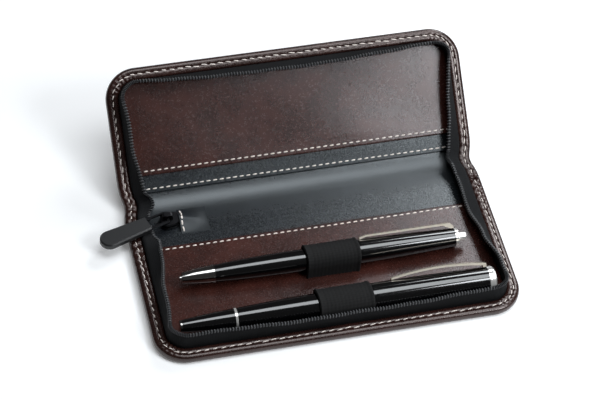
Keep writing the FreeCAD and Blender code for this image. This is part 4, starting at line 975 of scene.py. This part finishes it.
class PENCASE_OT_stitching(bpy.types.Operator):
    """Rim stitching, lining and pocket seams, and the bartack on the zip's tab"""

    bl_idname = "pencase.stitching"
    bl_label = "Stitching"

    def execute(self, context):
        settings = context.scene.pen_case
        for body, far, join in HALVES:
            thread = rim_stitches(body + "_rim_stitches", far, settings.stitch_pitch)
            join(thread)
        for name, body, run, height, half, slot in SEAMS:
            seam = seam_stitches(name, run, height, half, settings.seam_pitch)
            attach(seam, body)
        bartack = tab_bartack()
        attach(bartack, "spine")
        return {"FINISHED"}


def elastic_loop(node):
    """Loop round a pen: two straight legs and a half circle between them, with hems, ribs and a slight flare.

    The inner wall is the same path at a smaller, even radius.
    """
    low, high = box_mm(node)
    length = high[0] - low[0]
    outer = (high[1] - low[1]) / 2
    axis_y, axis_z = (low[1] + high[1]) / 2, high[2] - outer
    along = np.linspace(0, 1, LOOP_ROWS)[:, None]
    margin = np.minimum(along, 1 - along)
    drop = np.linspace(axis_z - low[2] - LEG_CLEARANCE, 0, LEG_STEPS + 1)[:-1]
    arch = np.linspace(0, math.pi, ARCH_STEPS)
    angle = np.concatenate([0 * drop, arch, 0 * drop + math.pi])[None, :]
    sink = np.concatenate([drop, 0 * arch, drop[::-1]])[None, :]
    hem = HEM_HEIGHT * np.exp(-((margin * length / HEM_WIDTH) ** 4))
    ribs = RIB_HEIGHT * np.sin(along * length * 2 * math.pi / RIB_PITCH)
    wall = outer + LOOP_FLARE * along + hem + ribs - rounded(margin * LOOP_WIDTH, LOOP_ROUNDING)
    x = low[0] + length * along + LOOP_SKEW * np.sin(angle * 2)
    grids = []
    for radius in (wall, outer - LOOP_WALL + 0 * along):
        y = axis_y - radius * np.cos(angle)
        z = axis_z + radius * np.sin(angle) - sink
        grids.append(np.stack(np.broadcast_arrays(x, y, z), axis=-1))
    return slab(node + "_elastic", *grids, material_of("elastic"))


class PENCASE_OT_loops(bpy.types.Operator):
    """Ribbed elastic loops round the pens, with thicker hems"""

    bl_idname = "pencase.loops"
    bl_label = "Elastic loops"

    def execute(self, context):
        for node in ("ballpoint_loop", "fountain_pen_loop"):
            loop = elastic_loop(node)
            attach(loop, "base")
            finish_piece(loop, "elastic", node)
        return {"FINISHED"}


def smooth_copy(node, material):
    """Copy of a CAD piece with its loose triangles joined and smooth shading up to its sharp edges."""
    mesh = frame["nodes"][node].data.copy()
    joined = bmesh.new()
    joined.from_mesh(mesh)
    bmesh.ops.remove_doubles(joined, verts=joined.verts, dist=MERGE_DISTANCE * MM)
    joined.to_mesh(mesh)
    joined.free()
    if "custom_normal" in mesh.attributes:
        mesh.attributes.remove(mesh.attributes["custom_normal"])
    mesh.polygons.foreach_set("use_smooth", np.ones(len(mesh.polygons), bool))
    mesh.set_sharp_from_angle(angle=math.radians(SHARP_EDGE))
    mesh.materials.clear()
    mesh.materials.append(material)
    obj = bpy.data.objects.new(node + "_finish", mesh)
    bpy.context.scene.collection.objects.link(obj)
    return obj


def outer_profile(places, reach):
    """Upper hull of radius against place: the turned piece's outside, without its bore."""
    hull = []
    for point in zip(places, reach):
        while len(hull) > 1:
            (x0, r0), (x1, r1) = hull[-2:]
            if (x1 - x0) * (point[1] - r0) - (r1 - r0) * (point[0] - x0) < 0:
                break
            hull.pop()
        hull.append(point)
    return np.array(hull).T


def turned_copy(node, material):
    """Barrel along X: a quadratic curve fitted to the CAD piece's outer profile, swept round its axis."""
    mesh = frame["nodes"][node].data
    corners = np.empty(len(mesh.vertices) * 3, np.float32)
    mesh.vertices.foreach_get("co", corners)
    corners = corners.reshape(-1, 3).astype(float) / MM
    low, high = corners.min(0), corners.max(0)
    centre = (low + high)[1:] / 2
    radius = np.hypot(corners[:, 1] - centre[0], corners[:, 2] - centre[1])
    places = np.unique(np.round(corners[:, 0], 2))
    reach = [radius[np.abs(corners[:, 0] - place) < RING_REACH].max() for place in places]
    arc = np.polyfit(*outer_profile(places, reach), 2)
    places = np.linspace(low[0], high[0], TURNED_RINGS)[:, None]
    reach = np.polyval(arc, places)
    around = np.linspace(0, 2 * math.pi, TURNED_SIDES, endpoint=False)[None, :]
    y = centre[0] + reach * np.cos(around)
    z = centre[1] + reach * np.sin(around)
    return tube(node + "_finish", np.stack(np.broadcast_arrays(places, y, z), axis=-1), material)


class PENCASE_OT_finishes(bpy.types.Operator):
    """Finishes of the rigid pieces: pens, slider and pull"""

    bl_idname = "pencase.finishes"
    bl_label = "Finishes"

    def execute(self, context):
        bodies = frame["record"]["behaviour"]["bodies"]
        for row in frame["record"]["subparts"]:
            node, slot = row["node"], row["material_slot"]
            if frame["nodes"][node].hide_render:
                continue
            make = turned_copy if node in TURNED else smooth_copy
            obj = make(node, material_of(FINISHES.get(node, slot)))
            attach(obj, next(body for body in bodies if node in bodies[body]))
            finish_piece(obj, slot, node)
            if node == "ballpoint_spring":
                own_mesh(obj)
        return {"FINISHED"}


def area_light(name, power, size, place):
    """Soft rectangular light at a place in metres, pointed at the case."""
    light = bpy.data.lights.new(name, "AREA")
    light.shape = "RECTANGLE"
    light.size, light.size_y = size
    light.energy = power
    light.color = LIGHT_COLOUR
    obj = bpy.data.objects.new(name, light)
    obj.location = place
    obj.rotation_euler = (Vector(LIGHT_AIM) - Vector(place)).to_track_quat("-Z", "Y").to_euler()
    bpy.context.scene.collection.objects.link(obj)
    return obj


def add_camera():
    """Camera turned by yaw, elevation and roll about a point on the lid's crease, and set off from it."""
    elevation = math.radians(CAMERA_ELEVATION)
    sine, cosine = math.sin(elevation), math.cos(elevation)
    tilt = Matrix(((1, 0, 0), (0, -sine, -cosine), (0, cosine, -sine)))
    roll = Matrix.Rotation(math.radians(CAMERA_ROLL), 3, "Z")
    yaw = Matrix.Rotation(math.radians(CAMERA_YAW), 3, "Z")
    turn = roll @ tilt @ yaw
    data = bpy.data.cameras.new("camera")
    data.sensor_width = SENSOR_WIDTH
    data.lens = CAMERA_LENS
    data.clip_start = 0.01
    obj = bpy.data.objects.new("camera", data)
    place = (Vector(CAMERA_PIVOT) - turn.transposed() @ Vector(CAMERA_OFFSET)) * MM
    facing = (Matrix.Diagonal((1, -1, -1)) @ turn).transposed()
    obj.matrix_world = Matrix.Translation(place) @ facing.to_4x4()
    bpy.context.scene.collection.objects.link(obj)
    bpy.context.scene.camera = obj


def pale_floor():
    """White floor, a little lighter to the camera, so that it stays white and keeps the shadow."""
    material, tree, shader, place = surface("floor", {"Roughness": 0.7, "Base Color": FLOOR_COLOUR})
    seen = place.node("ShaderNodeLightPath", "Is Camera Ray")
    seen = seen + seen.output("Is Glossy Ray") + seen.output("Is Transmission Ray")
    feed(tree, shader.inputs["Emission Color"], seen * FLOOR_LIFT)
    shader.inputs["Emission Strength"].default_value = 1.0
    return material


class PENCASE_OT_stage(bpy.types.Operator):
    """Pale floor, soft studio light and the photo's camera"""

    bl_idname = "pencase.stage"
    bl_label = "Stage"

    def execute(self, context):
        scene = context.scene
        mesh = bpy.data.meshes.new("floor")
        corners = [(x * FLOOR_HALF, y * FLOOR_HALF, 0) for x, y in ((-1, -1), (1, -1), (1, 1), (-1, 1))]
        mesh.from_pydata(corners, [], [(0, 1, 2, 3)])
        floor = bpy.data.objects.new("floor", mesh)
        mesh.materials.append(pale_floor())
        scene.collection.objects.link(floor)
        floor.location.z = -FLOOR_DROP
        power = scene.pen_case.key_power
        [area_light(name, power * share, size, place) for name, share, size, place in LIGHTS]
        world = bpy.data.worlds.new("studio")
        world.use_nodes = True
        background = world.node_tree.nodes["Background"]
        background.inputs["Color"].default_value = (1, 1, 1, 1)
        background.inputs["Strength"].default_value = WORLD_STRENGTH
        scene.world = world
        add_camera()
        scene.view_settings.view_transform = "Standard"
        return {"FINISHED"}


class PENCASE_PT_panel(bpy.types.Panel):
    """Sidebar panel with the case's sizes and colours and one button for each step"""

    bl_label = "Pen Case"
    bl_idname = "PENCASE_PT_panel"
    bl_space_type = "VIEW_3D"
    bl_region_type = "UI"
    bl_category = "Pen Case"

    def draw(self, context):
        settings = context.scene.pen_case
        for key in PenCaseSettings.__annotations__:
            self.layout.prop(settings, key)
        for step in STEPS:
            self.layout.operator(step.bl_idname)


STEPS = (
    PENCASE_OT_shell,
    PENCASE_OT_linings,
    PENCASE_OT_zip,
    PENCASE_OT_stitching,
    PENCASE_OT_loops,
    PENCASE_OT_finishes,
    PENCASE_OT_stage,
)
CLASSES = (PenCaseSettings, *STEPS, PENCASE_PT_panel)


def register():
    """Add the classes, and the settings to every scene."""
    for kind in CLASSES:
        bpy.utils.register_class(kind)
    bpy.types.Scene.pen_case = bpy.props.PointerProperty(type=PenCaseSettings)


def unregister():
    """Take the settings and the classes away again."""
    del bpy.types.Scene.pen_case
    for kind in reversed(CLASSES):
        bpy.utils.unregister_class(kind)


def main():
    """Build every piece and the stage in order."""
    register()
    bpy.ops.pencase.shell()
    bpy.ops.pencase.linings()
    bpy.ops.pencase.zip()
    bpy.ops.pencase.stitching()
    bpy.ops.pencase.loops()
    bpy.ops.pencase.finishes()
    bpy.ops.pencase.stage()


if __name__ == "__main__":
    main()
